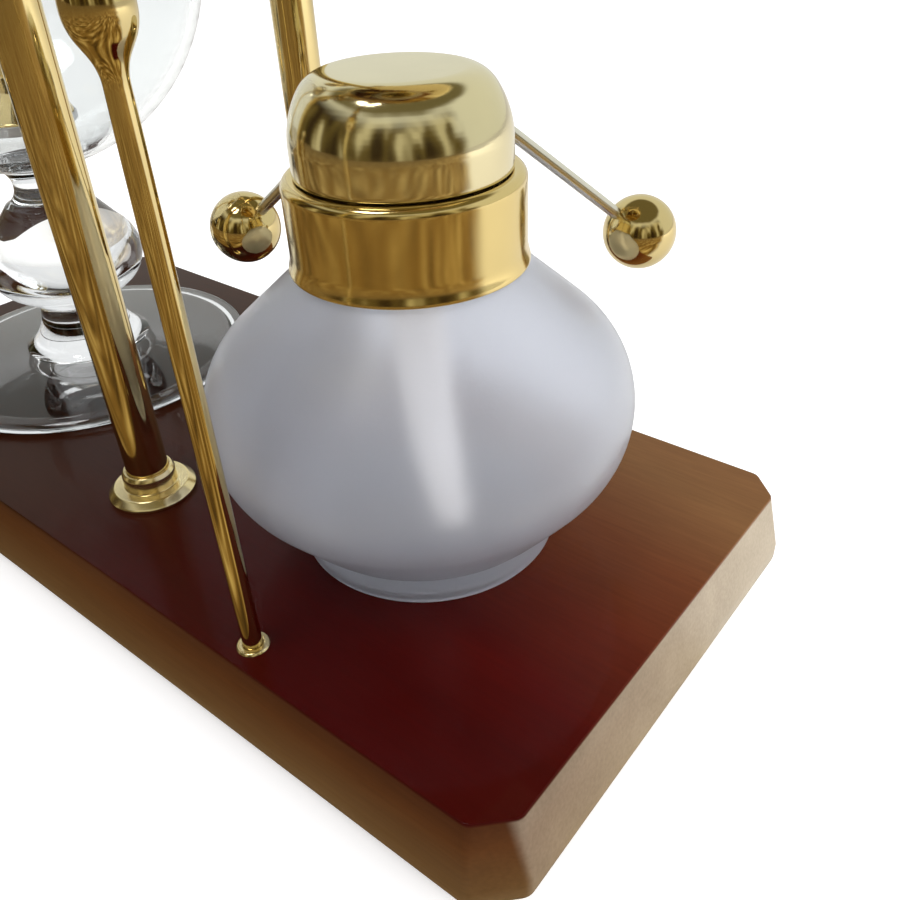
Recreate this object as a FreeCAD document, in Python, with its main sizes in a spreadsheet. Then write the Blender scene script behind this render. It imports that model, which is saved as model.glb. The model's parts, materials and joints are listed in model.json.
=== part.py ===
"""Balance siphon coffee maker: board, columns, rocking beam with boiler, spirit lamp, serving glass.

Millimetres, +Z up. The origin is the centre of the pad's underside. X runs along the board
with the lamp at +X and the serving glass at -X; the tap side is -Y.
"""
import FreeCAD
import Part
import math
import os
import Sketcher

doc = FreeCAD.newDocument("balance_siphon")
sheet = doc.addObject("Spreadsheet::Sheet", "sizes")

DRIVING = [
    # board and pad
    ("board_length", 269.0, "overall, at the widest level"),
    ("board_width", 122.4, "overall, at the widest level"),
    ("board_thick", 24.0, ""),
    ("side_lean", 3.0, "how far the sides lean out below the top face"),
    ("lean_height", 14.0, "height of the leaning part of the sides"),
    ("corner_clip", 8.2, "corner cut, at the widest level"),
    ("lower_round", 7.0, "radius under the board"),
    ("pad_thick", 2.0, ""),
    ("pad_inset", 12.0, ""),
    # places on the board
    ("column_x", 6.5, ""),
    ("column_y", 33.0, ""),
    ("lamp_x", 70.0, ""),
    ("lamp_y", -1.5, ""),
    ("glass_x", -70.0, ""),
    ("post_offset", 3.0, "rest post, from the lamp's axis towards the columns"),
    # columns
    ("pivot_height", 195.0, "beam axle above the deck"),
    ("column_radius", 5.0, ""),
    ("flange_reach", 5.5, "flange beyond the column"),
    ("flange_thick", 2.6, ""),
    ("flange_bevel", 1.6, ""),
    ("ferrule_wall", 1.3, ""),
    ("ferrule_height", 7.0, ""),
    ("stud_radius", 3.0, ""),
    ("stud_fit", 0.3, "radial clearance of a stud in wood"),
    ("nut_flats", 10.0, ""),
    ("nut_thick", 5.0, ""),
    ("washer_radius", 8.0, ""),
    ("washer_thick", 1.2, ""),
    ("nut_pocket", 10.5, "radius of the recess under the board"),
    ("nut_pocket_depth", 9.0, ""),
    ("head_radius", 9.0, ""),
    ("bush_radius", 4.5, ""),
    ("bush_flange", 6.0, ""),
    ("bush_overhang", 1.0, ""),
    ("sleeve_length", 5.0, "head's sleeve down the column"),
    ("sleeve_wall", 1.2, ""),
    ("boss_top", 6.0, "radius of the head's upper boss"),
    ("finial_foot", 7.0, "radius"),
    ("finial_waist", 3.4, "radius"),
    ("finial_vase", 13.0, "height of the swelling"),
    ("finial_swell", 2.8, "how far it swells"),
    ("finial_ball", 3.2, "radius"),
    ("bridge_radius", 3.0, ""),
    ("bridge_rise", 17.0, "bridge above the axle"),
    # beam
    ("axle_radius", 2.5, ""),
    ("run_fit", 0.05, "radial clearance of a running fit"),
    ("hub_radius", 8.0, ""),
    ("arm_thick", 4.0, ""),
    ("boiler_side_gap", 8.5, "from the boiler's band to the arm's middle"),
    ("lamp_side_gap", 7.5, "from the lamp's bowl to the arm's middle"),
    ("arm_depth", 7.0, "bar depth beside the hub"),
    ("eye_radius", 7.0, ""),
    ("spigot_radius", 2.5, ""),
    ("spigot_length", 14.0, "threaded into the counterweight"),
    ("ball_reach", 58.0, "counterweight centre to the axle"),
    ("weight_radius", 18.0, "counterweight ball"),
    ("weight_collar", 5.0, "radius of the flat where the arm ends"),
    ("stop_radius", 1.5, ""),
    ("stop_drop", 17.0, "stop pin below the axle"),
    ("stop_gap", 0.1, ""),
    ("tilt", 6.0, "degrees that the beam travels"),
    # rest post
    ("post_radius", 2.0, ""),
    ("post_waist", 1.8, "radius at the neck below the baluster"),
    ("post_neck", 106.0, "height of that neck"),
    ("neck_length", 6.0, "over which the post thins to the neck"),
    ("baluster_radius", 4.85, ""),
    ("baluster_rise", 9.4, "from the neck to the widest level"),
    ("baluster_taper", 11.0, "from there to its upper end"),
    ("cradle_width", 9.0, ""),
    # boiler
    ("boiler_radius", 43.0, ""),
    ("boiler_below", 45.0, "floor under the axle"),
    ("boiler_above", 33.0, "top over the axle"),
    ("boiler_wall", 0.8, ""),
    ("boiler_corner", 12.0, ""),
    ("boiler_shoulder", 16.0, ""),
    ("band_height", 9.0, ""),
    ("band_thick", 1.2, ""),
    ("trunnion_radius", 3.0, ""),
    ("filler_radius", 9.0, ""),
    ("filler_height", 8.0, ""),
    ("filler_knob", 4.0, ""),
    ("gland_offset", 24.0, "tube gland, from the boiler's axis towards the glass"),
    ("gland_radius", 7.0, ""),
    ("gland_height", 9.0, ""),
    ("tube_radius", 3.0, ""),
    ("tube_wall", 0.8, ""),
    ("tube_rise", 67.0, "tube's level run over the axle"),
    ("tube_bend", 20.0, ""),
    ("tube_foot", 6.0, "tube mouth above the boiler's floor"),
    ("filter_radius", 13.0, ""),
    ("filter_height", 9.0, ""),
    ("filter_bottom", 71.0, "above the deck"),
    # lamp
    ("foot_radius", 28.7, ""),
    ("bowl_radius", 45.2, ""),
    ("bowl_level", 33.5, "height of the widest level"),
    ("shoulder_round", 23.0, "radius of the belly's upper half"),
    ("shoulder_slope", 41.6, "degrees from level"),
    ("lamp_wall", 2.4, ""),
    ("neck_radius", 21.1, ""),
    ("neck_top", 80.4, ""),
    ("collar_slip", 0.5, "gap between the glass neck and the collar"),
    ("collar_wall", 1.2, ""),
    ("collar_shelf", 1.0, "thickness of the collar's top"),
    ("collar_corner", 1.8, "radius of its upper edge"),
    ("collar_flare", 0.6, "how far its lower edge stands out"),
    ("flare_height", 4.0, ""),
    ("holder_overlap", 2.0, "wick holder over the collar's top flange"),
    ("gasket_thick", 0.8, ""),
    ("holder_inset", 2.1, "wick holder inside the glass neck"),
    ("burner_radius", 7.0, ""),
    ("wick_radius", 5.5, ""),
    ("burner_top", 91.0, ""),
    ("wick_top", 94.0, ""),
    ("burner_below", 5.0, "burner tube under its flange"),
    ("wick_turn", 62.0, "height of the wick's first turn"),
    ("wick_knee", 29.0, "height of its second turn"),
    ("wick_aside", 5.0, "how far that turn is off the lamp's axis"),
    ("wick_end", 19.0, "how far its end is off the axis"),
    ("wick_low", 12.0, "height of its end"),
    ("wick_heading", 148.4, "degrees: the side it turns to, from the columns"),
    ("lid_step", 2.4, "lid inside the collar's outer wall"),
    ("lid_top", 99.7, ""),
    ("lid_shoulder", 8.3, "width of the lid's round shoulder"),
    ("lid_crown", 12.5, "height of that shoulder"),
    ("lid_knee", 6.5, "radius where the shoulder meets the flat top"),
    ("lid_wall", 0.8, ""),
    ("move_gap", 0.3, "gap between pieces that move apart"),
    ("hinge_turn", 31.2, "degrees: the lid hinge, anticlockwise from straight back"),
    ("screw_radius", 0.9, ""),
    ("screw_head", 1.7, "radius"),
    ("screw_side", 3.4, "screw beside the hinge leaf's middle"),
    ("screw_rise", 2.8, "screw above the leaf's lower end"),
    ("leaf_reach", 9.0, "hinge leaf down the collar"),
    ("leaf_thick", 1.4, ""),
    ("pin_offset", 4.0, "hinge pin behind the collar's wall"),
    ("pin_height", 85.6, ""),
    ("pin_radius", 1.2, ""),
    ("knuckle_radius", 2.7, ""),
    ("knuckle_half", 4.0, ""),
    ("lug_thick", 1.6, ""),
    ("rod_radius", 1.35, ""),
    ("rod_turn", 31.8, "degrees: where a rod leaves the lid, from the hinge"),
    ("rod_height", 90.4, ""),
    ("ball_radius", 8.2, "lid ball"),
    ("ball_side", 45.7, ""),
    ("ball_back", 33.5, ""),
    ("ball_height", 57.8, ""),
    # serving glass
    ("goblet_foot", 47.0, ""),
    ("knob_radius", 20.0, ""),
    ("bulb_radius", 55.0, ""),
    ("stem_top", 61.3, "where the stem enters the bulb"),
    ("stem_radius", 12.0, "at the bulb"),
    ("glass_wall", 2.5, ""),
    ("mouth_radius", 27.0, ""),
    ("throat", 23.1, "straight part of the mouth"),
    ("tap_level", 78.0, ""),
    ("boss_radius", 8.0, ""),
    ("boss_length", 15.3, "tap boss, out of the bulb at its own level"),
    ("tap_bore", 5.5, ""),
    ("shank_radius", 3.6, ""),
    ("housing_radius", 7.0, ""),
    ("housing_reach", 15.0, "plug axis beyond the boss"),
    ("plug_radius", 4.2, ""),
    ("spout_radius", 4.0, ""),
    ("spout_drop", 24.0, ""),
    ("lid_disc", 30.0, "glass lid radius"),
    ("tube_gap", 4.0, "room round the siphon tube in the glass lid"),
]


class Size:
    """A number that remembers the sheet expression it comes from."""

    def __init__(self, value, text):
        self.value = float(value)
        self.text = text

    def __add__(self, other):
        other = size(other)
        return Size(self.value + other.value, f"({self.text} + {other.text})")

    def __sub__(self, other):
        other = size(other)
        return Size(self.value - other.value, f"({self.text} - {other.text})")

    def __mul__(self, other):
        other = size(other)
        return Size(self.value * other.value, f"({self.text} * {other.text})")

    def __truediv__(self, other):
        other = size(other)
        return Size(self.value / other.value, f"({self.text} / {other.text})")

    def __neg__(self):
        return Size(-self.value, f"(0 - {self.text})")

    def __radd__(self, other):
        return size(other) + self

    def __rsub__(self, other):
        return size(other) - self

    def __rmul__(self, other):
        return size(other) * self


def size(number):
    return number if isinstance(number, Size) else Size(number, repr(float(number)))


def root(number):
    return Size(math.sqrt(number.value), f"sqrt({number.text})")


def sine(angle):
    return Size(math.sin(math.radians(angle.value)), f"sin({angle.text})")


def cosine(angle):
    return Size(math.cos(math.radians(angle.value)), f"cos({angle.text})")


def larger(first, second):
    return Size(max(first.value, second.value), f"max({first.text}; {second.text})")


def shorter(first, second):
    return Size(min(first.value, second.value), f"min({first.text}; {second.text})")


def distance(x, y):
    return root(x * x + y * y)


def flank(swell, rise):
    """Radius of an arc that stands upright at its widest and draws in by swell over rise."""
    swell, rise = size(swell), size(rise)
    return (swell * swell + rise * rise) / (swell * 2)


class Sizes:
    """The sheet's values by name, each as a Size."""


p = Sizes()
for row, (name, value, note) in enumerate(DRIVING, start=1):
    sheet.set(f"A{row}", name)
    sheet.set(f"B{row}", str(value))
    sheet.set(f"C{row}", note)
    sheet.setAlias(f"B{row}", name)
    setattr(p, name, Size(value, f"sizes.{name}"))
doc.recompute()


# ---- helpers: bound properties, sketches, bodies ----

def bind(feature, prop, number):
    number = size(number)
    feature.setExpression(prop, number.text)


def put(body, x=0, y=0, z=0, turn=None):
    """Place a body, its coordinates bound to the sheet; turn is about +Z, in degrees."""
    x, y, z = size(x), size(y), size(z)
    angle = size(turn or 0)
    body.Placement = FreeCAD.Placement(FreeCAD.Vector(x.value, y.value, z.value),
                                       FreeCAD.Rotation(FreeCAD.Vector(0, 0, 1), angle.value))
    bind(body, "Placement.Base.x", x)
    bind(body, "Placement.Base.y", y)
    bind(body, "Placement.Base.z", z)
    if turn is not None:
        bind(body, "Placement.Rotation.Angle", angle)
    return body


def new_body(label):
    body = doc.addObject("PartDesign::Body", label)
    body.Label = label
    body.AllowCompound = True
    return body


def sketch_on(body, role, lift=0):
    """A sketch on one of the body's own origin planes, raised along its normal."""
    plane = next(f for f in body.Origin.OriginFeatures if f.Role == role)
    sketch = body.newObject("Sketcher::SketchObject", "sketch")
    sketch.AttachmentSupport = [(plane, "")]
    sketch.MapMode = "FlatFace"
    bind(sketch, "AttachmentOffset.Base.z", lift)
    return sketch


class Arc:
    """A round stretch between two outline points: its radius, and the side its centre is on."""

    def __init__(self, radius, left=True):
        self.radius = size(radius)
        self.left = left


def pin_point(sketch, geometry, end, x, y, tag):
    """Fix one end of a sketch element at (x, y), each bound to the sheet."""
    for axis, kind, number in ((-2, "DistanceX", x), (-1, "DistanceY", y)):
        if number.value == 0.0 and not number.text.startswith("("):
            sketch.addConstraint(Sketcher.Constraint("PointOnObject", geometry, end, axis))
            continue
        index = sketch.addConstraint(
            Sketcher.Constraint(kind, -1, 1, geometry, end, number.value))
        sketch.renameConstraint(index, f"{kind}_{tag}")
        sketch.setExpression(f"Constraints.{kind}_{tag}", number.text)


def outline(sketch, path):
    """A closed outline: (x, y) points in turn, with an Arc wherever a stretch is round."""
    points = [(size(e[0]), size(e[1])) for e in path if not isinstance(e, Arc)]
    round_after = {}
    count = 0
    for element in path:
        if isinstance(element, Arc):
            round_after[count - 1] = element
        else:
            count += 1
    first_ends = []
    last_ends = []
    for i, (x, y) in enumerate(points):
        x2, y2 = points[(i + 1) % len(points)]
        a = FreeCAD.Vector(x.value, y.value, 0)
        b = FreeCAD.Vector(x2.value, y2.value, 0)
        arc = round_after.get(i)
        if arc is None:
            geometry = sketch.addGeometry(Part.LineSegment(a, b), False)
            first_ends.append((geometry, 1))
            last_ends.append((geometry, 2))
            continue
        chord = b - a
        half = chord.Length / 2
        left = FreeCAD.Vector(-chord.y, chord.x, 0).normalize()
        away = math.sqrt(max(arc.radius.value ** 2 - half ** 2, 0.0))
        centre = (a + b) * 0.5 + left * (away if arc.left else -away)
        start, stop = (a, b) if arc.left else (b, a)
        circle = Part.Circle(centre, FreeCAD.Vector(0, 0, 1), arc.radius.value)
        angles = [math.atan2(v.y - centre.y, v.x - centre.x) for v in (start, stop)]
        geometry = sketch.addGeometry(Part.ArcOfCircle(circle, angles[0], angles[1]), False)
        first_ends.append((geometry, 1 if arc.left else 2))
        last_ends.append((geometry, 2 if arc.left else 1))
        index = sketch.addConstraint(
            Sketcher.Constraint("Radius", geometry, arc.radius.value))
        sketch.renameConstraint(index, f"radius_{i}")
        sketch.setExpression(f"Constraints.radius_{i}", arc.radius.text)
    for i, (x, y) in enumerate(points):
        geometry, end = first_ends[i]
        before, before_end = last_ends[i - 1]
        sketch.addConstraint(Sketcher.Constraint("Coincident", before, before_end, geometry, end))
        pin_point(sketch, geometry, end, x, y, str(i))


def circle_in(sketch, x, y, radius):
    """A bound circle in a sketch."""
    x, y, radius = size(x), size(y), size(radius)
    centre = FreeCAD.Vector(x.value, y.value, 0)
    geometry = sketch.addGeometry(
        Part.Circle(centre, FreeCAD.Vector(0, 0, 1), radius.value), False)
    index = sketch.addConstraint(Sketcher.Constraint("Radius", geometry, radius.value))
    sketch.renameConstraint(index, f"circle_{geometry}")
    sketch.setExpression(f"Constraints.circle_{geometry}", radius.text)
    pin_point(sketch, geometry, 3, x, y, f"c{geometry}")


def turned(label, path):
    """A body turned about its own vertical axis from a half outline of (radius, height)."""
    body = new_body(label)
    sketch = sketch_on(body, "XZ_Plane")
    outline(sketch, path)
    spin = body.newObject("PartDesign::Revolution", "turn")
    spin.Profile = sketch
    spin.ReferenceAxis = (sketch, ["V_Axis"])
    spin.Angle = 360
    return body


def turned_along_y(label, path):
    """A body turned about its own Y axis from a half outline of (place along Y, radius)."""
    body = new_body(label)
    sketch = sketch_on(body, "YZ_Plane")
    outline(sketch, path)
    spin = body.newObject("PartDesign::Revolution", "turn")
    spin.Profile = sketch
    spin.ReferenceAxis = (sketch, ["H_Axis"])
    spin.Angle = 360
    return body


def pad(body, sketch, length, midplane=False, reverse=False):
    feature = body.newObject("PartDesign::Pad", "pad")
    feature.Profile = sketch
    feature.Midplane = midplane
    feature.Reversed = reverse
    feature.Length = size(length).value
    bind(feature, "Length", length)
    return feature


def pocket_through(body, sketch):
    feature = body.newObject("PartDesign::Pocket", "hole")
    feature.Profile = sketch
    feature.Type = "ThroughAll"
    feature.Midplane = True
    return feature


def pocket(body, sketch, length, reverse=False):
    feature = body.newObject("PartDesign::Pocket", "pocket")
    feature.Profile = sketch
    feature.Reversed = reverse
    feature.Length = size(length).value
    bind(feature, "Length", length)
    return feature


def groove(body, path):
    """Turn a hollow out of a body about its vertical axis."""
    sketch = sketch_on(body, "XZ_Plane")
    outline(sketch, path)
    cut = body.newObject("PartDesign::Groove", "hollow")
    cut.Profile = sketch
    cut.ReferenceAxis = (sketch, ["V_Axis"])
    cut.Angle = 360
    return cut


def mirror_pair(body):
    """Add the body's mirror image across its own XZ plane: a pair of separate solids."""
    feature = body.Tip
    plane = next(f for f in body.Origin.OriginFeatures if f.Role == "XZ_Plane")
    pair = body.newObject("PartDesign::Mirrored", "pair")
    pair.Originals = [feature]
    pair.MirrorPlane = (plane, [""])
    body.Tip = pair
    return body


def bore_y(body, radius, height=0, x=0):
    """A round hole along Y, right through the body."""
    sketch = sketch_on(body, "XZ_Plane")
    circle_in(sketch, x, height, radius)
    return pocket_through(body, sketch)


def ring(label, outer, inner, thick):
    return turned(label, [(inner, 0), (outer, 0), (outer, thick), (inner, thick)])


def corners(half_x, half_y, clip):
    """The board's eight-sided outline."""
    return [(half_x - clip, -half_y), (half_x, clip - half_y), (half_x, half_y - clip),
            (half_x - clip, half_y), (clip - half_x, half_y), (-half_x, half_y - clip),
            (-half_x, clip - half_y), (clip - half_x, -half_y)]


SIDES = (("front", -1), ("back", 1))
deck = p.pad_thick + p.board_thick
pivot = deck + p.pivot_height
eye_x = p.lamp_x - p.column_x
post_x = p.lamp_x - p.post_offset
# the arms pass outside the boiler and outside the lamp
arm_y = larger(p.boiler_radius + p.band_thick + p.boiler_side_gap, p.bowl_radius + p.lamp_side_gap)
collar_radius = p.neck_radius + p.collar_slip + p.collar_wall
holder_radius = p.neck_radius - p.lamp_wall - p.holder_inset
lid_radius = collar_radius - p.lid_step
collar_top = p.neck_top + p.gasket_thick + p.collar_shelf
pin_back = collar_radius + p.pin_offset
leaf_foot = collar_top - p.leaf_reach
bulb_level = p.stem_top + root(p.bulb_radius * p.bulb_radius - p.stem_radius * p.stem_radius)
mouth_rise = root(p.bulb_radius * p.bulb_radius - p.mouth_radius * p.mouth_radius)
mouth_top = bulb_level + mouth_rise + p.throat
tap_drop = bulb_level - p.tap_level
boss_reach = root(p.bulb_radius * p.bulb_radius - tap_drop * tap_drop) + p.boss_length


# ---- board and pad ----

def base_board():
    body = new_body("base_board")
    half_x = p.board_length / 2
    half_y = p.board_width / 2
    waist = deck - p.lean_height
    wide = sketch_on(body, "XY_Plane", waist)
    outline(wide, corners(half_x, half_y, p.corner_clip))
    top = sketch_on(body, "XY_Plane", deck)
    # a clipped corner keeps its place when the outline moves in: 2 - sqrt(2) of the lean comes off
    top_clip = p.corner_clip - p.side_lean * 0.586
    outline(top, corners(half_x - p.side_lean, half_y - p.side_lean, top_clip))
    loft = body.newObject("PartDesign::AdditiveLoft", "sides")
    loft.Profile = wide
    loft.Sections = [top]
    loft.Ruled = True
    below = sketch_on(body, "XY_Plane", waist)
    outline(below, corners(half_x, half_y, p.corner_clip))
    lower = pad(body, below, p.board_thick - p.lean_height, reverse=True)
    doc.recompute()
    low = p.pad_thick.value
    rim = [f"Edge{i}" for i, e in enumerate(lower.Shape.Edges, start=1)
           if e.BoundBox.ZMax < low + 0.01]
    under = body.newObject("PartDesign::Fillet", "under")
    under.Base = (lower, rim)
    under.Radius = p.lower_round.value
    bind(under, "Radius", p.lower_round)
    for _, side in SIDES:
        holes = sketch_on(body, "XY_Plane", deck)
        circle_in(holes, p.column_x, p.column_y * side, p.stud_radius + p.stud_fit)
        pocket_through(body, holes)
        recess = sketch_on(body, "XY_Plane", p.pad_thick)
        circle_in(recess, p.column_x, p.column_y * side, p.nut_pocket)
        pocket(body, recess, p.nut_pocket_depth, reverse=True)
    post_hole = sketch_on(body, "XY_Plane", deck)
    circle_in(post_hole, post_x, -arm_y, p.post_radius)
    pocket(body, post_hole, p.board_thick / 2)


def base_pad():
    body = new_body("base_pad")
    sketch = sketch_on(body, "XY_Plane")
    outline(sketch, corners(p.board_length / 2 - p.pad_inset, p.board_width / 2 - p.pad_inset,
                            p.corner_clip))
    pad(body, sketch, p.pad_thick)


# ---- columns ----

def column(name, side):
    stud_foot = p.pad_thick + p.nut_pocket_depth - p.washer_thick - p.nut_thick - 1
    head_seat = pivot - p.head_radius + 1
    rod = turned(f"column_{name}", [
        (0, stud_foot), (p.stud_radius, stud_foot), (p.stud_radius, deck),
        (p.column_radius, deck), (p.column_radius, head_seat), (0, head_seat)])
    bore_y(rod, p.stop_radius, pivot - p.stop_drop)
    put(rod, p.column_x, p.column_y * side)

    rim = p.column_radius + p.flange_reach
    ferrule = p.column_radius + p.ferrule_wall
    flange = turned(f"column_flange_{name}", [
        (p.column_radius, 0), (rim, 0), (rim, p.flange_thick - p.flange_bevel),
        (rim - p.flange_bevel, p.flange_thick), (ferrule, p.flange_thick),
        (ferrule, p.ferrule_height - 1), (ferrule - 0.6, p.ferrule_height),
        (p.column_radius, p.ferrule_height)])
    put(flange, p.column_x, p.column_y * side, deck)

    # the head is a turned ball on a short neck, cross-bored for the bush
    neck = p.column_radius + p.sleeve_wall
    foot = -p.head_radius - p.sleeve_length
    crown = p.bridge_rise + p.bridge_radius + 2
    meet = root(p.head_radius * p.head_radius - neck * neck)
    top_meet = root(p.head_radius * p.head_radius - p.boss_top * p.boss_top)
    head = turned(f"column_head_{name}", [
        (0, 1 - p.head_radius), (p.column_radius, 1 - p.head_radius), (p.column_radius, foot),
        (neck, foot), (neck, -meet), Arc(p.head_radius), (p.boss_top, top_meet),
        (p.boss_top, crown), (0, crown)])
    bore_y(head, p.bush_radius)
    bore_y(head, p.bridge_radius, p.bridge_rise)
    put(head, p.column_x, p.column_y * side, pivot)

    reach = p.head_radius + p.bush_overhang
    bush = turned_along_y(f"axle_bush_{name}", [
        (-p.head_radius, p.axle_radius + p.run_fit), (reach, p.axle_radius + p.run_fit),
        (reach, p.bush_flange), (p.head_radius, p.bush_flange),
        (p.head_radius, p.bush_radius), (-p.head_radius, p.bush_radius)])
    put(bush, p.column_x, p.column_y * side, pivot, turn=0 if side > 0 else 180)

    waist = p.finial_waist
    swell = p.finial_swell
    half = p.finial_vase / 2
    ball = p.finial_ball
    neck = ball * 0.75
    ball_at = half * 2 + 6 + root(ball * ball - neck * neck)
    finial = turned(f"column_finial_{name}", [
        (0, 0), (p.finial_foot, 0), (p.finial_foot, 2), (waist, 4.5), (waist, 6),
        Arc(flank(swell, half)), (waist + swell, half + 6), Arc(flank(swell + waist - neck, half)),
        (neck, half * 2 + 6), Arc(ball), (ball, ball_at), Arc(ball), (0, ball_at + ball)])
    put(finial, p.column_x, p.column_y * side, pivot + crown)


def column_fasteners():
    """A washer and a hexagon nut on each column's stud, in the recesses under the board."""
    roof = p.pad_thick + p.nut_pocket_depth
    y = p.column_y
    washers = new_body("column_washers")
    discs = sketch_on(washers, "XY_Plane")
    for radius in (p.washer_radius, p.stud_radius + p.stud_fit):
        circle_in(discs, 0, y, radius)
    pad(washers, discs, p.washer_thick)
    put(mirror_pair(washers), p.column_x, 0, roof - p.washer_thick)

    nuts = new_body("column_nuts")
    hexagon = sketch_on(nuts, "XY_Plane")
    across = p.nut_flats / 2
    corner = p.nut_flats * 0.57735
    outline(hexagon, [(corner, y), (corner / 2, y + across), (-corner / 2, y + across),
                      (-corner, y), (-corner / 2, y - across), (corner / 2, y - across)])
    circle_in(hexagon, 0, y, p.stud_radius)
    pad(nuts, hexagon, p.nut_thick)
    put(mirror_pair(nuts), p.column_x, 0, roof - p.washer_thick - p.nut_thick)


def column_bridge():
    reach = p.column_y + p.head_radius - 2
    bar = turned_along_y("column_bridge", [
        (-reach, 0), (-reach, p.bridge_radius), (reach, p.bridge_radius), (reach, 0)])
    put(bar, p.column_x, 0, pivot + p.bridge_rise)


def stop_pins():
    reach = arm_y + p.arm_thick / 2 + 1
    start = p.column_y - p.column_radius
    pin = turned_along_y("stop_pins", [
        (start, 0), (start, p.stop_radius), (reach, p.stop_radius), (reach, 0)])
    put(mirror_pair(pin), p.column_x, 0, pivot - p.stop_drop)


# ---- rest post ----

def rest_post():
    r = p.post_radius
    b = p.baluster_radius
    n = p.post_neck
    slim = p.post_waist
    seat = p.pivot_height - p.eye_radius - p.move_gap - eye_x * sine(p.tilt)
    # the baluster draws out of the neck in one hollow and one full curve
    swell = (b - slim) / 2
    rise = p.baluster_rise / 2
    widest = n + p.baluster_rise
    upper = widest + p.baluster_taper
    bead = upper + 2
    post = turned("rest_post", [
        (0, p.board_thick / -2), (r, p.board_thick / -2), (r, n - p.neck_length), (slim, n),
        Arc(flank(swell, rise), left=False), (slim + swell, n + rise),
        Arc(flank(swell, rise)), (b, widest), Arc(flank(b - slim, p.baluster_taper)),
        (slim, upper), (slim, bead), (slim + 1.6, bead + 1.4), (slim + 1.6, bead + 2.6),
        (slim, bead + 4), (slim, seat - 6), (0, seat - 6)])
    put(post, post_x, -arm_y, deck)
    put(turned("rest_post_ferrule", [
        (r, 0), (r + 1.5, 0), (r + 1.1, 0.6), (r, 0.6)]), post_x, -arm_y, deck)

    # the cradle under the beam's front eye is cut to the eye's curve at full tilt
    cradle = new_body("rest_cradle")
    face = sketch_on(cradle, "XZ_Plane")
    half = p.cradle_width / 2
    outline(face, [(-half, -6), (half, -6), (half, 1.6), (-half, 1.6)])
    pad(cradle, face, p.arm_thick + 2, midplane=True)
    dish = sketch_on(cradle, "XZ_Plane")
    circle_in(dish, p.column_x + eye_x * cosine(p.tilt) - post_x,
              p.eye_radius + p.move_gap, p.eye_radius + p.move_gap)
    pocket_through(cradle, dish)
    stem = sketch_on(cradle, "XY_Plane", -6)
    circle_in(stem, 0, 0, p.post_waist)
    pocket(cradle, stem, 4, reverse=True)
    put(cradle, post_x, -arm_y, deck + seat)


# ---- beam ----

def beam_axle():
    reach = arm_y + p.arm_thick / 2 + 6
    put(turned_along_y("beam_axle", [
        (-reach, 0), (-reach, p.axle_radius), (reach, p.axle_radius), (reach, 0)]),
        p.column_x, 0, pivot)


def beam_arm(name, side):
    """A flat bar from the counterweight's spigot through the hub to the boiler's eye."""
    body = new_body(f"beam_arm_{name}")
    half = p.arm_depth / 2
    slim = half * 0.7
    bar_end = p.weight_radius - p.ball_reach
    face = sketch_on(body, "XZ_Plane")
    outline(face, [(bar_end, -slim), (0, -half), (eye_x, -slim), (eye_x, slim), (0, half),
                   (bar_end, slim)])
    pad(body, face, p.arm_thick, midplane=True)
    for x, radius in ((0, p.hub_radius), (eye_x, p.eye_radius)):
        boss = sketch_on(body, "XZ_Plane")
        circle_in(boss, x, 0, radius)
        pad(body, boss, p.arm_thick, midplane=True)
    # the tail meets the stop pin when the boiler is up
    tail = sketch_on(body, "XZ_Plane")
    near = -p.stop_radius - p.stop_gap
    low = -p.stop_drop - p.stop_radius - 0.5
    outline(tail, [(near - 4, low + 1), (near - 3, low), (near, low), (near, -4),
                   (near - 4, -4)])
    pad(body, tail, p.arm_thick, midplane=True)
    rod = sketch_on(body, "YZ_Plane", bar_end + 1)
    circle_in(rod, 0, 0, p.spigot_radius)
    pad(body, rod, p.spigot_length + 1, reverse=True)
    bore_y(body, p.axle_radius)
    bore_y(body, p.trunnion_radius, 0, eye_x)
    put(body, p.column_x, arm_y * side, pivot)


def turned_along_x(label, path):
    """A body turned about its own X axis from a half outline of (place along X, radius)."""
    body = new_body(label)
    sketch = sketch_on(body, "XZ_Plane")
    outline(sketch, path)
    spin = body.newObject("PartDesign::Revolution", "turn")
    spin.Profile = sketch
    spin.ReferenceAxis = (sketch, ["H_Axis"])
    spin.Angle = 360
    return body


def counterweight(name, side):
    """A ball with a flat and a blind bore, screwed on the arm's spigot."""
    r = p.weight_radius
    flat = p.weight_collar
    bore = p.spigot_radius
    meet = root(r * r - flat * flat)
    bottom = r - p.spigot_length - 1
    ball = turned_along_x(f"counterweight_{name}", [
        (-r, 0), (bottom, 0), (bottom, bore), (r, bore), (r, flat), (meet, flat), Arc(r),
        (0, r), Arc(r)])
    put(ball, p.column_x - p.ball_reach, arm_y * side, pivot)


def axle_nuts():
    seat = arm_y + p.arm_thick / 2
    nut = turned_along_y("axle_nuts", [
        (seat, p.axle_radius), (seat, p.axle_radius + 2.8), (seat + 3, p.axle_radius + 2.8),
        (seat + 8, p.axle_radius), (seat + 8, 0), (seat + 6, 0), (seat + 6, p.axle_radius)])
    put(mirror_pair(nut), p.column_x, 0, pivot)


def axle_spacers():
    start = p.column_y + p.head_radius + p.bush_overhang + p.move_gap
    stop = arm_y - p.arm_thick / 2
    tube = turned_along_y("axle_spacers", [
        (start, p.axle_radius), (stop, p.axle_radius), (stop, p.axle_radius + 1.5),
        (start, p.axle_radius + 1.5)])
    put(mirror_pair(tube), p.column_x, 0, pivot)


# ---- boiler ----

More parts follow.
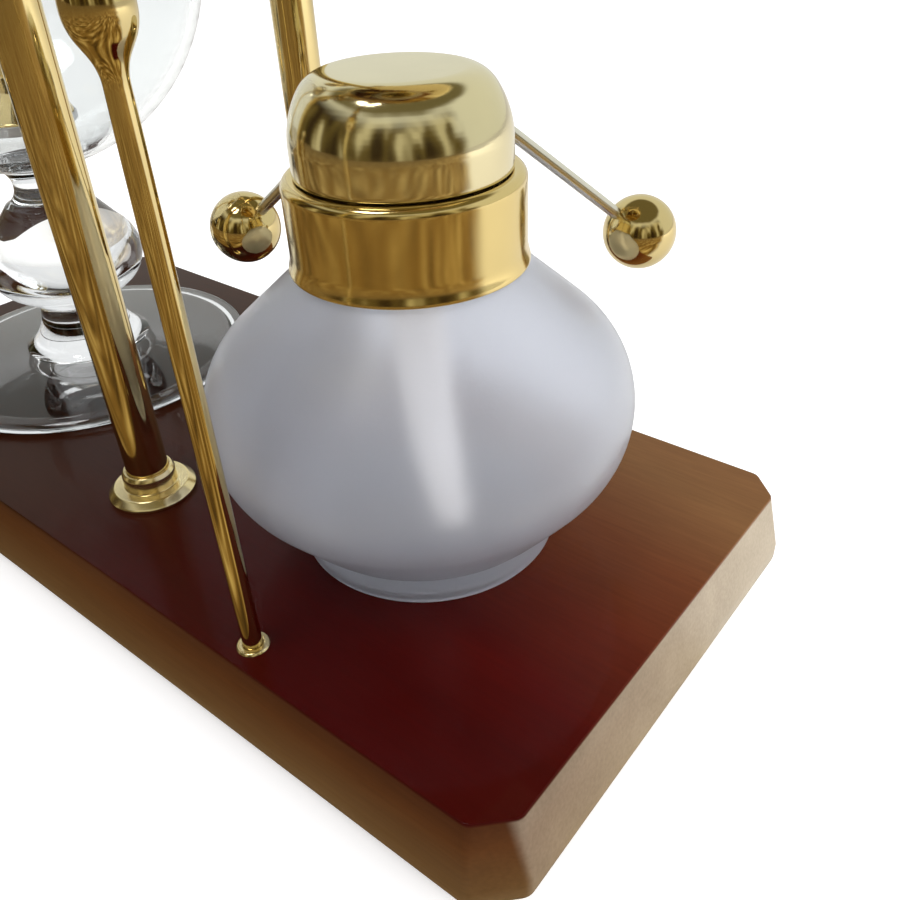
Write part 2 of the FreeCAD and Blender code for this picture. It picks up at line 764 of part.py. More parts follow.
def boiler():
    r, w = p.boiler_radius, p.boiler_wall
    floor, roof = -p.boiler_below, p.boiler_above
    c, s = p.boiler_corner, p.boiler_shoulder
    put(turned("boiler_base", [
        (0, floor), (r - c, floor), Arc(c), (r, floor + c), (r, 0), (r - w, 0),
        (r - w, floor + c), Arc(c - w, left=False), (r - c, floor + w), (0, floor + w)]),
        p.lamp_x, 0, pivot)

    shell = turned("boiler_shell", [
        (r, 0), (r, roof - s), Arc(s), (r - s, roof), (0, roof), (0, roof - w),
        (r - s, roof - w), Arc(s - w, left=False), (r - w, roof - s), (r - w, 0)])
    openings = sketch_on(shell, "XY_Plane", roof)
    circle_in(openings, 0, 0, p.filler_radius - 1.5)
    circle_in(openings, -p.gland_offset, 0, p.gland_radius - 1.5)
    pocket(shell, openings, w * 2)
    put(shell, p.lamp_x, 0, pivot)

    half = p.band_height / 2
    band = turned("boiler_band", [
        (r, -half), (r + p.band_thick, -half), (r + p.band_thick, half), (r, half)])
    put(band, p.lamp_x, 0, pivot)

    top = pivot + p.boiler_above
    f = p.filler_radius
    put(turned("filler_neck", [
        (f - 1.5, 0), (f + 2, 0), (f + 2, 1), (f, 1), (f, p.filler_height),
        (f - 1.5, p.filler_height)]), p.lamp_x, 0, top)
    put(ring("filler_gasket", f - 0.2, f - 1.5, p.gasket_thick),
        p.lamp_x, 0, top + p.filler_height)
    # the filler cap drops over the neck, with a turned knob on top
    crown = p.filler_height + p.gasket_thick + p.move_gap
    knob = p.filler_knob
    waist = knob * 0.6
    knob_at = crown + 4.6 + root(knob * knob - waist * waist)
    put(turned("filler_cap", [
        (f + p.move_gap, 2), (f + 1.6, 2), (f + 1.6, crown + 0.8), (f - 1, crown + 2.2),
        (waist + 1, crown + 2.6), (waist, crown + 4.6), Arc(knob), (knob, knob_at), Arc(knob),
        (0, knob_at + knob), (0, crown), (f + p.move_gap, crown)]), p.lamp_x, 0, top)

    g = p.gland_radius
    gland_x = p.lamp_x - p.gland_offset
    put(turned("gland_neck", [
        (g - 1.5, 0), (g + 1.5, 0), (g + 1.5, 1), (g, 1), (g, p.gland_height - 3),
        (g - 1.5, p.gland_height - 3)]), gland_x, 0, top)
    t = p.tube_radius
    put(turned("tube_stopper", [
        (t, -2), (g - 1.5, -2), (g - 1.5, p.gland_height - 3), (g, p.gland_height - 3),
        (g, p.gland_height), (g - 1, p.gland_height + 1), (t, p.gland_height + 1)]),
        gland_x, 0, top)


def trunnions():
    r = p.trunnion_radius
    start = p.boiler_radius + p.band_thick
    arm = arm_y - p.arm_thick / 2
    stop = arm_y + p.arm_thick / 2 + 4
    pin = turned_along_y("trunnions", [
        (start, 0), (start, r + 3), (start + 1.2, r + 3), (arm - 1.5, r + 1.5), (arm, r + 1.5),
        (arm, r), (stop, r), (stop, 0)])
    put(mirror_pair(pin), p.lamp_x, 0, pivot)
    outer = arm_y + p.arm_thick / 2
    knob = turned_along_y("trunnion_nuts", [
        (outer, r), (outer, r + 3), (outer + 3.5, r + 3), (outer + 6, r + 1), (outer + 6, 0),
        (stop, 0), (stop, r)])
    put(mirror_pair(knob), p.lamp_x, 0, pivot)


def siphon_tube():
    """A bent tube from the boiler's floor, over the columns and down into the glass."""
    body = new_body("siphon_tube")
    start_z = pivot - p.boiler_below + p.tube_foot
    end_z = deck + p.filter_bottom + p.filter_height
    top = pivot + p.tube_rise
    right = p.lamp_x - p.gland_offset
    left = p.glass_x
    bend = p.tube_bend
    path = sketch_on(body, "XZ_Plane")
    stretches = [
        ((right, start_z), (right, top - bend)), "bend",
        ((right - bend, top), (left + bend, top)), "bend",
        ((left, top - bend), (left, end_z))]
    lines = []
    for stretch in stretches:
        if stretch == "bend":
            continue
        (x1, z1), (x2, z2) = [(size(a), size(b)) for a, b in stretch]
        line = path.addGeometry(Part.LineSegment(
            FreeCAD.Vector(x1.value, z1.value, 0), FreeCAD.Vector(x2.value, z2.value, 0)), False)
        pin_point(path, line, 1, x1, z1, f"s{line}")
        pin_point(path, line, 2, x2, z2, f"e{line}")
        lines.append(line)
    for number, (centre_x, first, last, begin) in enumerate((
            (right - bend, lines[0], lines[1], 0.0), (left + bend, lines[1], lines[2], 90.0))):
        centre = FreeCAD.Vector(centre_x.value, (top - bend).value, 0)
        circle = Part.Circle(centre, FreeCAD.Vector(0, 0, 1), bend.value)
        arc = path.addGeometry(Part.ArcOfCircle(
            circle, math.radians(begin), math.radians(begin + 90)), False)
        path.addConstraint(Sketcher.Constraint("Coincident", first, 2, arc, 1))
        path.addConstraint(Sketcher.Constraint("Coincident", last, 1, arc, 2))
        index = path.addConstraint(Sketcher.Constraint("Radius", arc, bend.value))
        path.renameConstraint(index, f"bend_{number}")
        path.setExpression(f"Constraints.bend_{number}", bend.text)
    section = sketch_on(body, "XY_Plane", start_z)
    circle_in(section, right, 0, p.tube_radius)
    circle_in(section, right, 0, p.tube_radius - p.tube_wall)
    pipe = body.newObject("PartDesign::AdditivePipe", "pipe")
    pipe.Profile = section
    pipe.Spine = path
    put(body)


def filter_head():
    r, t = p.filter_radius, p.tube_radius
    w = 1.0
    top = p.filter_height
    body = turned("filter_head", [
        (t - p.tube_wall, top), (t - p.tube_wall, top - 1.5), (r - w, 2.2), (r - w, 1.2),
        (r, 1.2), (r, 3), (t + 1.5, top), (t + 1.5, top + 4), (t, top + 4), (t, top)])
    put(body, p.glass_x, 0, deck + p.filter_bottom)
    screen = turned("filter_screen", [
        (0, 0.4), (r - w, 0.4), (r - w, 0), (r + 0.6, 0), (r + 0.6, 2.4), (r, 2.4), (r, 1.2),
        (0, 1.2)])
    put(screen, p.glass_x, 0, deck + p.filter_bottom)


# ---- spirit lamp ----

def shoulder():
    """Where the bowl's upper arc ends, and how high its straight shoulder meets the neck."""
    slope = p.shoulder_slope
    high_r = p.bowl_radius - p.shoulder_round * (1 - sine(slope))
    high_z = p.bowl_level + p.shoulder_round * cosine(slope)
    return high_r, high_z, high_z + (high_r - p.neck_radius) * sine(slope) / cosine(slope)


def collar_foot():
    """Height where the collar's lower edge rests on the bowl's shoulder."""
    slope = p.shoulder_slope
    gap = collar_radius - p.collar_wall - p.neck_radius
    return shoulder()[2] - gap * sine(slope) / cosine(slope)


def lamp_glass():
    f, b, n, w = p.foot_radius, p.bowl_radius, p.neck_radius, p.lamp_wall
    level = p.bowl_level
    # a straight lower flank, one arc round the belly's lower half, one round its upper half,
    # and a straight shoulder up to the neck
    low_r, low_z = b - 3.9, level - 12.3
    upper = p.shoulder_round
    high_r, high_z, neck_z = shoulder()
    put(turned("lamp_glass", [
        (0, 1.5), (f - 4, 1.5), (f - 2.5, 0), (f - 0.6, 0), (f, 0.8), (f + 0.8, 6.2),
        (f + 0.9, 7.6), (f + 2.6, 8.8), (low_r, low_z), Arc(21.4), (b, level), Arc(upper),
        (high_r, high_z), (n, neck_z), (n, p.neck_top), (n - w, p.neck_top),
        (n - w, neck_z - 1), (high_r - w * 0.7, high_z - w * 0.7), Arc(upper - w, left=False),
        (b - w, level), Arc(21.4 - w, left=False), (low_r - w * 0.82, low_z + w * 0.57),
        (f - 2, 6.5), (f - 6, 4.4), (0, 4.4)]), p.lamp_x, p.lamp_y, deck)


def lamp_collar():
    """A spun band round the glass neck: its flat top carries the wick holder and the lid."""
    r, w = collar_radius, p.collar_wall
    low, high = collar_foot(), collar_top
    shelf = high - p.collar_shelf
    corner, flare = p.collar_corner, p.collar_flare
    waist = low + p.flare_height
    body = turned("lamp_collar", [
        (r - w, low), (r + flare, low), (r + flare, low + 0.5),
        Arc(flank(flare, p.flare_height - 0.5), left=False), (r, waist),
        (r, high - corner), Arc(corner), (r - corner, high),
        (holder_radius - p.holder_overlap, high), (holder_radius - p.holder_overlap, shelf),
        (r - w, shelf)])
    holes = sketch_on(body, "XZ_Plane")
    for side in (-1, 1):
        circle_in(holes, p.screw_side * side, leaf_foot + p.screw_rise, p.screw_radius)
    pocket(body, holes, r + 3)
    put(body, p.lamp_x, p.lamp_y, deck, turn=p.hinge_turn)


def collar_screws():
    """The two screws that hold the hinge leaf on the collar."""
    face = collar_radius + p.leaf_thick
    end = root((collar_radius - p.collar_wall) * (collar_radius - p.collar_wall)
               - p.screw_side * p.screw_side)
    body = new_body("collar_screws")
    for start, radius, length in ((end, p.screw_radius, face - end), (face, p.screw_head, 0.9)):
        sketch = sketch_on(body, "XZ_Plane", -start)
        for side in (-1, 1):
            circle_in(sketch, p.screw_side * side, leaf_foot + p.screw_rise, radius)
        pad(body, sketch, length, reverse=True)
    put(body, p.lamp_x, p.lamp_y, deck, turn=p.hinge_turn)


def burner():
    put(ring("neck_gasket", p.neck_radius - 0.2, p.neck_radius - p.lamp_wall,
             p.gasket_thick), p.lamp_x, p.lamp_y, deck + p.neck_top)
    b, k, seat = p.burner_radius, p.wick_radius, collar_top
    put(turned("wick_holder", [
        (k, seat - p.burner_below), (b, seat - p.burner_below), (b, seat), (holder_radius, seat),
        (holder_radius, seat + 1), (b + 1.4, seat + 1), (b, seat + 2.4),
        (b, p.burner_top), (k, p.burner_top)]), p.lamp_x, p.lamp_y, deck)


def hanging_path(sketch, points):
    """Straight runs joined by tangent arcs, each as large as its two runs allow.

    Every turn is towards -X as the path comes down.
    """
    points = [(size(x), size(y)) for x, y in points]
    begin = points[0]
    for i in range(1, len(points) - 1):
        (ax, ay), (bx, by), (cx, cy) = points[i - 1:i + 2]
        before, after = distance(ax - bx, ay - by), distance(cx - bx, cy - by)
        ux, uy = (ax - bx) / before, (ay - by) / before
        vx, vy = (cx - bx) / after, (cy - by) / after
        reach = shorter(before, after) * 0.45
        cosine_of_turn = -(ux * vx + uy * vy)
        radius = reach * root((1 + cosine_of_turn) / (1 - cosine_of_turn))
        start = (bx + ux * reach, by + uy * reach)
        stop = (bx + vx * reach, by + vy * reach)
        line = straight_run(sketch, begin, start)
        centre = FreeCAD.Vector((start[0] - uy * radius).value, (start[1] + ux * radius).value, 0)
        angles = [math.atan2(point[1].value - centre.y, point[0].value - centre.x)
                  for point in (stop, start)]
        arc = sketch.addGeometry(Part.ArcOfCircle(
            Part.Circle(centre, FreeCAD.Vector(0, 0, 1), radius.value), *angles), False)
        sketch.addConstraint(Sketcher.Constraint("Coincident", line, 2, arc, 2))
        index = sketch.addConstraint(Sketcher.Constraint("Radius", arc, radius.value))
        sketch.renameConstraint(index, f"bend_{i}")
        sketch.setExpression(f"Constraints.bend_{i}", radius.text)
        pin_point(sketch, arc, 1, stop[0], stop[1], f"stop{i}")
        print(f"wick turn {i}: radius {radius.value:.1f}")
        begin = stop
    straight_run(sketch, begin, points[-1])


def straight_run(sketch, start, stop):
    ends = [FreeCAD.Vector(x.value, y.value, 0) for x, y in (start, stop)]
    line = sketch.addGeometry(Part.LineSegment(*ends), False)
    pin_point(sketch, line, 1, start[0], start[1], f"s{line}")
    pin_point(sketch, line, 2, stop[0], stop[1], f"e{line}")
    return line


def wick():
    """The wick fills the burner tube and hangs to the bowl's floor."""
    body = new_body("wick")
    path = sketch_on(body, "XZ_Plane")
    hanging_path(path, [(0, p.wick_top), (0, p.wick_turn), (-p.wick_aside, p.wick_knee),
                        (-p.wick_end, p.wick_low)])
    section = sketch_on(body, "XY_Plane", p.wick_top)
    circle_in(section, 0, 0, p.wick_radius)
    pipe = body.newObject("PartDesign::AdditivePipe", "pipe")
    pipe.Profile = section
    pipe.Spine = path
    put(body, p.lamp_x, p.lamp_y, deck, turn=p.wick_heading)


def lamp_lid():
    """The snuffer: an upright wall, a shoulder of two arcs that meet smoothly, a flat top."""
    r, w = lid_radius, p.lid_wall
    s, c, knee, top = p.lid_shoulder, p.lid_crown, p.lid_knee, p.lid_top
    rim = collar_top + p.move_gap
    # the lower arc's radius follows from the shoulder's width and height and the knee
    sweep = (s * s + c * c - c * knee * 2) / ((s - knee) * 2)
    across, up = (sweep - s) / (sweep - knee), (c - knee) / (sweep - knee)
    meet_r, meet_z = r - sweep + sweep * across, top - c + sweep * up
    body = turned("lamp_lid", [
        (r - w, rim), (r, rim), (r, top - c), Arc(sweep), (meet_r, meet_z), Arc(knee),
        (r - s, top), (0, top), (0, top - w), (r - s, top - w), Arc(knee - w, left=False),
        (meet_r - w * across, meet_z - w * up), Arc(sweep - w, left=False), (r - w, top - c)])
    put(body, p.lamp_x, p.lamp_y, deck, turn=p.hinge_turn)


def hinge():
    back, high = pin_back, p.pin_height
    eye = p.knuckle_radius
    half = p.knuckle_half
    wall = collar_radius
    lid = lid_radius

    # the fixed leaf: a saddle plate screwed on the collar, with a lug at each end
    leaf = new_body("hinge_leaf")
    plate = sketch_on(leaf, "YZ_Plane")
    face = wall + p.leaf_thick
    outline(plate, [(wall - 0.9, leaf_foot), (face, leaf_foot), (face, leaf_foot + 5.2),
                    (back + eye, high - 1), (back + eye, high), Arc(eye), (back, high + eye),
                    Arc(eye), (back - eye, high), (back - eye, collar_top + 0.2),
                    (wall - 0.9, collar_top - 2)])
    pad(leaf, plate, (half + p.move_gap + p.lug_thick) * 2, midplane=True)
    gap = sketch_on(leaf, "XZ_Plane", 0)
    outline(gap, [(-half - p.move_gap, high - eye - 1.2), (half + p.move_gap, high - eye - 1.2),
                  (half + p.move_gap, high + 6), (-half - p.move_gap, high + 6)])
    pocket(leaf, gap, back + 6)
    # it is hollowed to the collar's wall
    groove(leaf, [(0, leaf_foot - 1), (wall, leaf_foot - 1), (wall, collar_top + 0.1),
                  (0, collar_top + 0.1)])
    holes = sketch_on(leaf, "XZ_Plane")
    for side in (-1, 1):
        circle_in(holes, p.screw_side * side, leaf_foot + p.screw_rise, p.screw_radius)
    pocket(leaf, holes, back)
    bore = sketch_on(leaf, "YZ_Plane")
    circle_in(bore, back, high, p.pin_radius)
    pocket_through(leaf, bore)
    put(leaf, p.lamp_x, p.lamp_y, deck, turn=p.hinge_turn)

    # the moving knuckle: a block brazed to the lid's back, with a round eye
    knuckle = new_body("lid_knuckle")
    side = sketch_on(knuckle, "YZ_Plane")
    outline(side, [(lid - 3, high - 1.6), (back, high - eye), Arc(eye), (back + eye, high),
                   Arc(eye), (back, high + eye), (lid - 3, high + 2.6)])
    pad(knuckle, side, half * 2, midplane=True)
    groove(knuckle, [(0, high - 8), (lid, high - 8), (lid, high + 8), (0, high + 8)])
    hole = sketch_on(knuckle, "YZ_Plane")
    circle_in(hole, back, high, p.pin_radius + p.run_fit)
    pocket_through(knuckle, hole)
    put(knuckle, p.lamp_x, p.lamp_y, deck, turn=p.hinge_turn)

    pin = new_body("hinge_pin")
    shaft = sketch_on(pin, "YZ_Plane")
    circle_in(shaft, back, high, p.pin_radius)
    pad(pin, shaft, (half + p.move_gap + p.lug_thick + 0.8) * 2, midplane=True)
    put(pin, p.lamp_x, p.lamp_y, deck, turn=p.hinge_turn)


def lid_weight(name, side):
    """A ball weight on its rod; the rod runs straight from the lid's back flank to the ball."""
    turn = math.radians(p.hinge_turn.value)
    out = math.radians(p.rod_turn.value)
    start = lid_radius.value - 1
    ahead = FreeCAD.Vector(start * math.sin(out) * side, start * math.cos(out),
                           p.rod_height.value)
    ball_at = FreeCAD.Vector(p.ball_side.value * side, p.ball_back.value, p.ball_height.value)
    run = ball_at - ahead
    spin = FreeCAD.Rotation(FreeCAD.Vector(0, 0, 1), math.degrees(turn))
    shift = FreeCAD.Vector(p.lamp_x.value, p.lamp_y.value, deck.value)
    rod = doc.addObject("Part::Feature", f"lid_rod_{name}")
    rod.Label = f"lid_rod_{name}"
    length = run.Length - p.ball_radius.value + 2.5
    bar = Part.makeCylinder(p.rod_radius.value, length, ahead, run)
    # the rod is brazed on the lid's outer face, so nothing of it stays in the wall or inside
    wall = doc.getObject("lamp_lid").Tip.Shape
    inside = Part.makeCylinder(lid_radius.value - p.lid_wall.value, 40, FreeCAD.Vector(0, 0, 70))
    ball = Part.makeSphere(p.ball_radius.value, ball_at)
    rod.Shape = bar.cut([wall, inside])
    rod.Placement = FreeCAD.Placement(shift, spin)
    weight = doc.addObject("Part::Feature", f"lid_ball_{name}")
    weight.Label = f"lid_ball_{name}"
    weight.Shape = ball.cut(bar)
    weight.Placement = FreeCAD.Placement(shift, spin)


# ---- serving glass ----

def serving_glass():
    f, k = p.goblet_foot, p.knob_radius
    r, w, m = p.bulb_radius, p.glass_wall, p.mouth_radius
    level, top = bulb_level, mouth_top
    stem = 10.0
    body = turned("serving_glass", [
        (0, 1.2), (f - 5, 1.2), (f - 3, 0), (f - 1, 0), Arc(1.6), (f - 1, 3), (stem + 8, 6.5),
        Arc(16, left=False), (stem + 1, 20), (k - 2, 25), Arc(11), (k - 2, 42),
        (stem + 1.5, 50), Arc(6, left=False), (p.stem_radius, p.stem_top), Arc(r), (r, level), Arc(r),
        (m, level + mouth_rise), (m, top - 4), (m + 2, top - 1), Arc(1.2), (m + 1, top), (0, top)])
    boss = sketch_on(body, "XZ_Plane")
    circle_in(boss, 0, p.tap_level, p.boss_radius)
    pad(body, boss, boss_reach)
    inner = r - w
    mouth = m - w
    rise = root(inner * inner - mouth * mouth)
    groove(body, [(0, level - inner), Arc(inner), (inner, level), Arc(inner),
                  (mouth, level + rise), (mouth, top + 1), (0, top + 1)])
    hole = sketch_on(body, "XZ_Plane")
    circle_in(hole, 0, p.tap_level, p.tap_bore)
    pocket(body, hole, boss_reach + 2, reverse=True)
    put(body, p.glass_x, 0, deck)


def tap():
    """Spigot tap: shank in a rubber sleeve, cross plug with a wing key, spout turned down."""
    z = deck + p.tap_level
    face = boss_reach
    sleeve = turned_along_y("tap_sleeve", [
        (-face + 14, p.shank_radius), (-face + 14, p.tap_bore), (-face, p.tap_bore),
        (-face, p.boss_radius), (-face - 2, p.boss_radius), (-face - 2, p.shank_radius)])
    put(sleeve, p.glass_x, 0, z)

    axis_y = -face - p.housing_reach
    s = p.shank_radius
    h = p.housing_radius
    start = -face + 12
    body = turned_along_y("tap_body", [
        (start, 0), (start, s), (-face - 2, s), (-face - 2, h + 1.5), (-face - 4, h + 1.5),
        (-face - 5, h - 2), (axis_y, h - 2), (axis_y, 0)])
    housing = sketch_on(body, "XY_Plane", -11)
    circle_in(housing, 0, axis_y, h)
    pad(body, housing, 22)
    spout = sketch_on(body, "XY_Plane", -p.spout_drop)
    circle_in(spout, 0, axis_y, p.spout_radius)
    pad(body, spout, p.spout_drop)
    outlet = sketch_on(body, "XY_Plane", -p.spout_drop)
    circle_in(outlet, 0, axis_y, p.spout_radius - 1.4)
    pocket(body, outlet, p.spout_drop - 8, reverse=True)
    seat = sketch_on(body, "XY_Plane", 11)
    circle_in(seat, 0, axis_y, p.plug_radius + p.run_fit)
    pocket(body, seat, 19)
    inlet = sketch_on(body, "XZ_Plane", -start)
    circle_in(inlet, 0, 0, s - 1.4)
    pocket(body, inlet, 13, reverse=True)
    put(body, p.glass_x, 0, z)

    key = turned("tap_key", [
        (0, -7.4), (p.plug_radius, -7.4), (p.plug_radius, 11 + p.move_gap),
        (h - 0.6, 11 + p.move_gap), (h - 0.6, 12.5), (3, 14.5), (3, 19), (0, 19)])
    wing = sketch_on(key, "XZ_Plane")
    outline(wing, [(-3, 14.6), (3, 14.6), (12, 20), Arc(3), (11, 25.6), (4, 23), (-4, 23),
                   (-11, 25.6), Arc(3), (-12, 20)])
    pad(key, wing, 3, midplane=True)
    port = sketch_on(key, "XZ_Plane")
    circle_in(port, 0, 0, 1.8)
    pocket_through(key, port)
    put(key, p.glass_x, axis_y, z)


def glass_lid():
    m = p.mouth_radius - p.glass_wall
    d, hole = p.lid_disc, p.tube_radius + p.tube_gap
    g = p.move_gap
    put(turned("glass_lid", [
        (hole, g), (hole + 1.5, g), (hole + 1.5, -4), (m - 1.5, -4), (m - 1.5, -5), (m - 0.6, -5),
        (m - 0.6, g), (d, g), Arc(1.2), (d, g + 1.6), (m - 4, 4), Arc(40), (hole + 5, 8),
        (hole + 2, 11), (hole, 11)]), p.glass_x, 0, deck + mouth_top)


base_board()
base_pad()
for side_name, side_sign in SIDES:
    column(side_name, side_sign)
    beam_arm(side_name, side_sign)
    counterweight(side_name, side_sign)
column_fasteners()
column_bridge()
stop_pins()
rest_post()
beam_axle()
axle_nuts()
axle_spacers()
boiler()
trunnions()
siphon_tube()
filter_head()
lamp_glass()
lamp_collar()
collar_screws()
burner()
wick()
lamp_lid()
hinge()
doc.recompute()
lid_weight("left", -1)
lid_weight("right", 1)
serving_glass()
tap()
glass_lid()
doc.recompute()

os.makedirs("parts", exist_ok=True)
failed = [f"{item.Name} ({item.Label})" for item in doc.Objects
          if {"Invalid", "Error"} & set(item.State)]
if failed:
    raise RuntimeError("failed: " + "; ".join(failed))
nodes = [o for o in doc.Objects
         if o.TypeId == "PartDesign::Body" or o.TypeId == "Part::Feature"]
for node in nodes:
    if node.Shape.isNull() or not node.Shape.isValid() or not node.Shape.Solids:
        raise RuntimeError(f"{node.Label} has no valid solid")
for node in nodes:
    node.Shape.exportStep(f"parts/{node.Label}.step")
    box = node.Shape.BoundBox
    print(f"{node.Label}: {len(node.Shape.Solids)} solid(s), {node.Shape.Volume:.0f} mm3, "
          f"x {box.XMin:.1f}..{box.XMax:.1f} y {box.YMin:.1f}..{box.YMax:.1f} "
          f"z {box.ZMin:.1f}..{box.ZMax:.1f}")
print(len(nodes), "nodes")
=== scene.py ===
# %% [markdown]
# # A balance siphon coffee maker
# The real thing is turned brass, glass and a thick wooden board. A rocking beam carries the
# boiler over a spirit lamp, and a bent tube leads to a glass with a tap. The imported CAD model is
# the fixed frame. Every polished piece is made again from its own section, so that it reflects
# smoothly, and every surface gets a material built from nodes.

# %% Load the fixed frame
import json
import math

import bmesh
import bpy
from mathutils import Matrix, Vector


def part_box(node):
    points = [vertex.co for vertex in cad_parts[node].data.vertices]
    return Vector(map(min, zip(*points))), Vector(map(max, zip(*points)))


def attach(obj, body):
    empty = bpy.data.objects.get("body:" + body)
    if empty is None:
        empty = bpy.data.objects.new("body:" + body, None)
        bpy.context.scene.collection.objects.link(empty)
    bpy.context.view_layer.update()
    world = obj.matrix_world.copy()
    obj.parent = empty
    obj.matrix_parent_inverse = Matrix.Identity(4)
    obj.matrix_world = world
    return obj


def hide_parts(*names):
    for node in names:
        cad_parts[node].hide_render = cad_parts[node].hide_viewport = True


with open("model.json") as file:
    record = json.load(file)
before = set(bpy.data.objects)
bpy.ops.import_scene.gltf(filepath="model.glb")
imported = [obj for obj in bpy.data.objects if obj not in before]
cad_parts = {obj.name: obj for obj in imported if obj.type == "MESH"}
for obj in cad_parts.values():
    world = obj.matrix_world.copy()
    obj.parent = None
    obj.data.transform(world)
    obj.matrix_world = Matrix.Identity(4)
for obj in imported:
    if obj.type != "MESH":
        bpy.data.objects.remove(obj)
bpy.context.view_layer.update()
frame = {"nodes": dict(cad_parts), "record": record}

MM = 0.001
NODES = frame["nodes"]
BODY_OF = {node: body for body, members in frame["record"]["behaviour"]["bodies"].items()
           for node in members}
scene = bpy.context.scene

# %% [markdown]
# ## Camera
# The camera comes first, because it settles how near each piece is seen. It looks down at the
# lamp over the board's corner from arm's length, with a slight roll, as a hand-held camera does.
# Its turn is built from three plain rotations: heading, tilt and roll.

# %% Place the camera
CAMERA_AT = Vector((180.0, -120.6, 157.2)) * MM
HEADING = math.radians(38.729)
TILT_DOWN = math.radians(33.835)
ROLL = math.radians(-2.083)

camera_data = bpy.data.cameras.new("camera")
camera_data.sensor_width = 36.0
camera_data.lens = 35.306
camera_data.shift_x = -0.0281
camera_data.shift_y = -0.0167
camera_data.clip_start = 5 * MM
camera = bpy.data.objects.new("camera", camera_data)
camera.matrix_world = (Matrix.Translation(CAMERA_AT) @ Matrix.Rotation(HEADING, 4, "Z")
                       @ Matrix.Rotation(math.pi / 2 - TILT_DOWN, 4, "X")
                       @ Matrix.Rotation(ROLL, 4, "Z"))
scene.collection.objects.link(camera)
scene.camera = camera
scene.view_settings.view_transform = "Standard"
print("camera at", tuple(round(v, 4) for v in camera.location))

# %% [markdown]
# ## Shader sums as Python sums
# Node trees for wood or metal are mostly arithmetic on masks. Wiring each Math node by hand hides
# the formula, so a small class wraps a socket and turns +, -, * and / into Math nodes. A second
# class holds a node tree and has one method that adds any node. A third is one finish: a
# material with its Principled shader.

# %% The wire and finish classes
class Wire:
    """A value in a node tree that can be used in sums."""

    def __init__(self, owner, socket):
        self.owner = owner
        self.socket = socket

    def math(self, operation, *values):
        inputs = dict(enumerate(values))
        return self.owner.node("ShaderNodeMath", {"operation": operation}, inputs)

    def __add__(self, other):
        return self.math("ADD", self, other)

    def __sub__(self, other):
        return self.math("SUBTRACT", self, other)

    def __mul__(self, other):
        return self.math("MULTIPLY", self, other)

    def __truediv__(self, other):
        return self.math("DIVIDE", self, other)

    def __rsub__(self, other):
        return self.math("SUBTRACT", other, self)

    __radd__ = __add__
    __rmul__ = __mul__


class Nodes:
    """A node tree with one method that adds any node, and a few common patterns."""

    def __init__(self, tree):
        self.tree = tree

    def node(self, kind, settings=None, values=None, output=0):
        made = self.tree.nodes.new(kind)
        for name, value in (settings or {}).items():
            if name == "stops":
                self.set_stops(made.color_ramp, value)
            else:
                setattr(made, name, value)
        for name, value in (values or {}).items():
            if isinstance(value, Wire):
                self.tree.links.new(value.socket, made.inputs[name])
            else:
                made.inputs[name].default_value = value
        return Wire(self, made.outputs[output])

    @staticmethod
    def set_stops(ramp, stops):
        while len(ramp.elements) < len(stops):
            ramp.elements.new(0.5)
        for element, (position, colour) in zip(ramp.elements, stops):
            element.position = position
            element.color = colour

    def dot(self, vector, constant):
        return self.node("ShaderNodeVectorMath", {"operation": "DOT_PRODUCT"},
                         {0: vector, 1: constant}, output="Value")

    def coordinates(self, scale=(1, 1, 1), centre=(0, 0, 0)):
        """Object coordinates about a centre, in metres, stretched by scale."""
        where = self.node("ShaderNodeTexCoord", output="Object")
        shift = [-c * s for c, s in zip(centre, scale)]
        return self.node("ShaderNodeMapping", None,
                         {"Vector": where, "Location": shift, "Scale": scale})

    def noise(self, vector, scale, detail=4.0, distortion=0.0):
        return self.node("ShaderNodeTexNoise", None,
                         {"Vector": vector, "Scale": scale, "Detail": detail,
                          "Distortion": distortion})

    def ramp(self, value, stops):
        return self.node("ShaderNodeValToRGB", {"stops": stops}, {"Fac": value})

    def mix(self, mask, first, second, blend="MIX"):
        """Blend two colours, which are the Mix node's sockets 6 and 7 and its output 2."""
        return self.node("ShaderNodeMix", {"data_type": "RGBA", "blend_type": blend},
                         {0: mask, 6: first, 7: second}, output=2)

    def between(self, value, low, high):
        """0 below low, 1 above high, smooth between."""
        return self.node("ShaderNodeMapRange", {"interpolation_type": "SMOOTHSTEP"},
                         {"Value": value, "From Min": low, "From Max": high})


class Finish(Nodes):
    """A material with one Principled shader; drive() feeds one of its sockets."""

    def __init__(self, name, **sockets):
        self.material = bpy.data.materials.new(name)
        self.material.use_nodes = True
        super().__init__(self.material.node_tree)
        self.shader = self.tree.nodes["Principled BSDF"]
        for socket, value in sockets.items():
            self.shader.inputs[socket.replace("_", " ")].default_value = value

    def drive(self, socket, wire):
        self.tree.links.new(wire.socket, self.shader.inputs[socket])

    def bump(self, height, distance, strength=1.0):
        wire = self.node("ShaderNodeBump", None,
                         {"Height": height, "Distance": distance, "Strength": strength})
        self.drive("Normal", wire)


print("shader helpers ready")
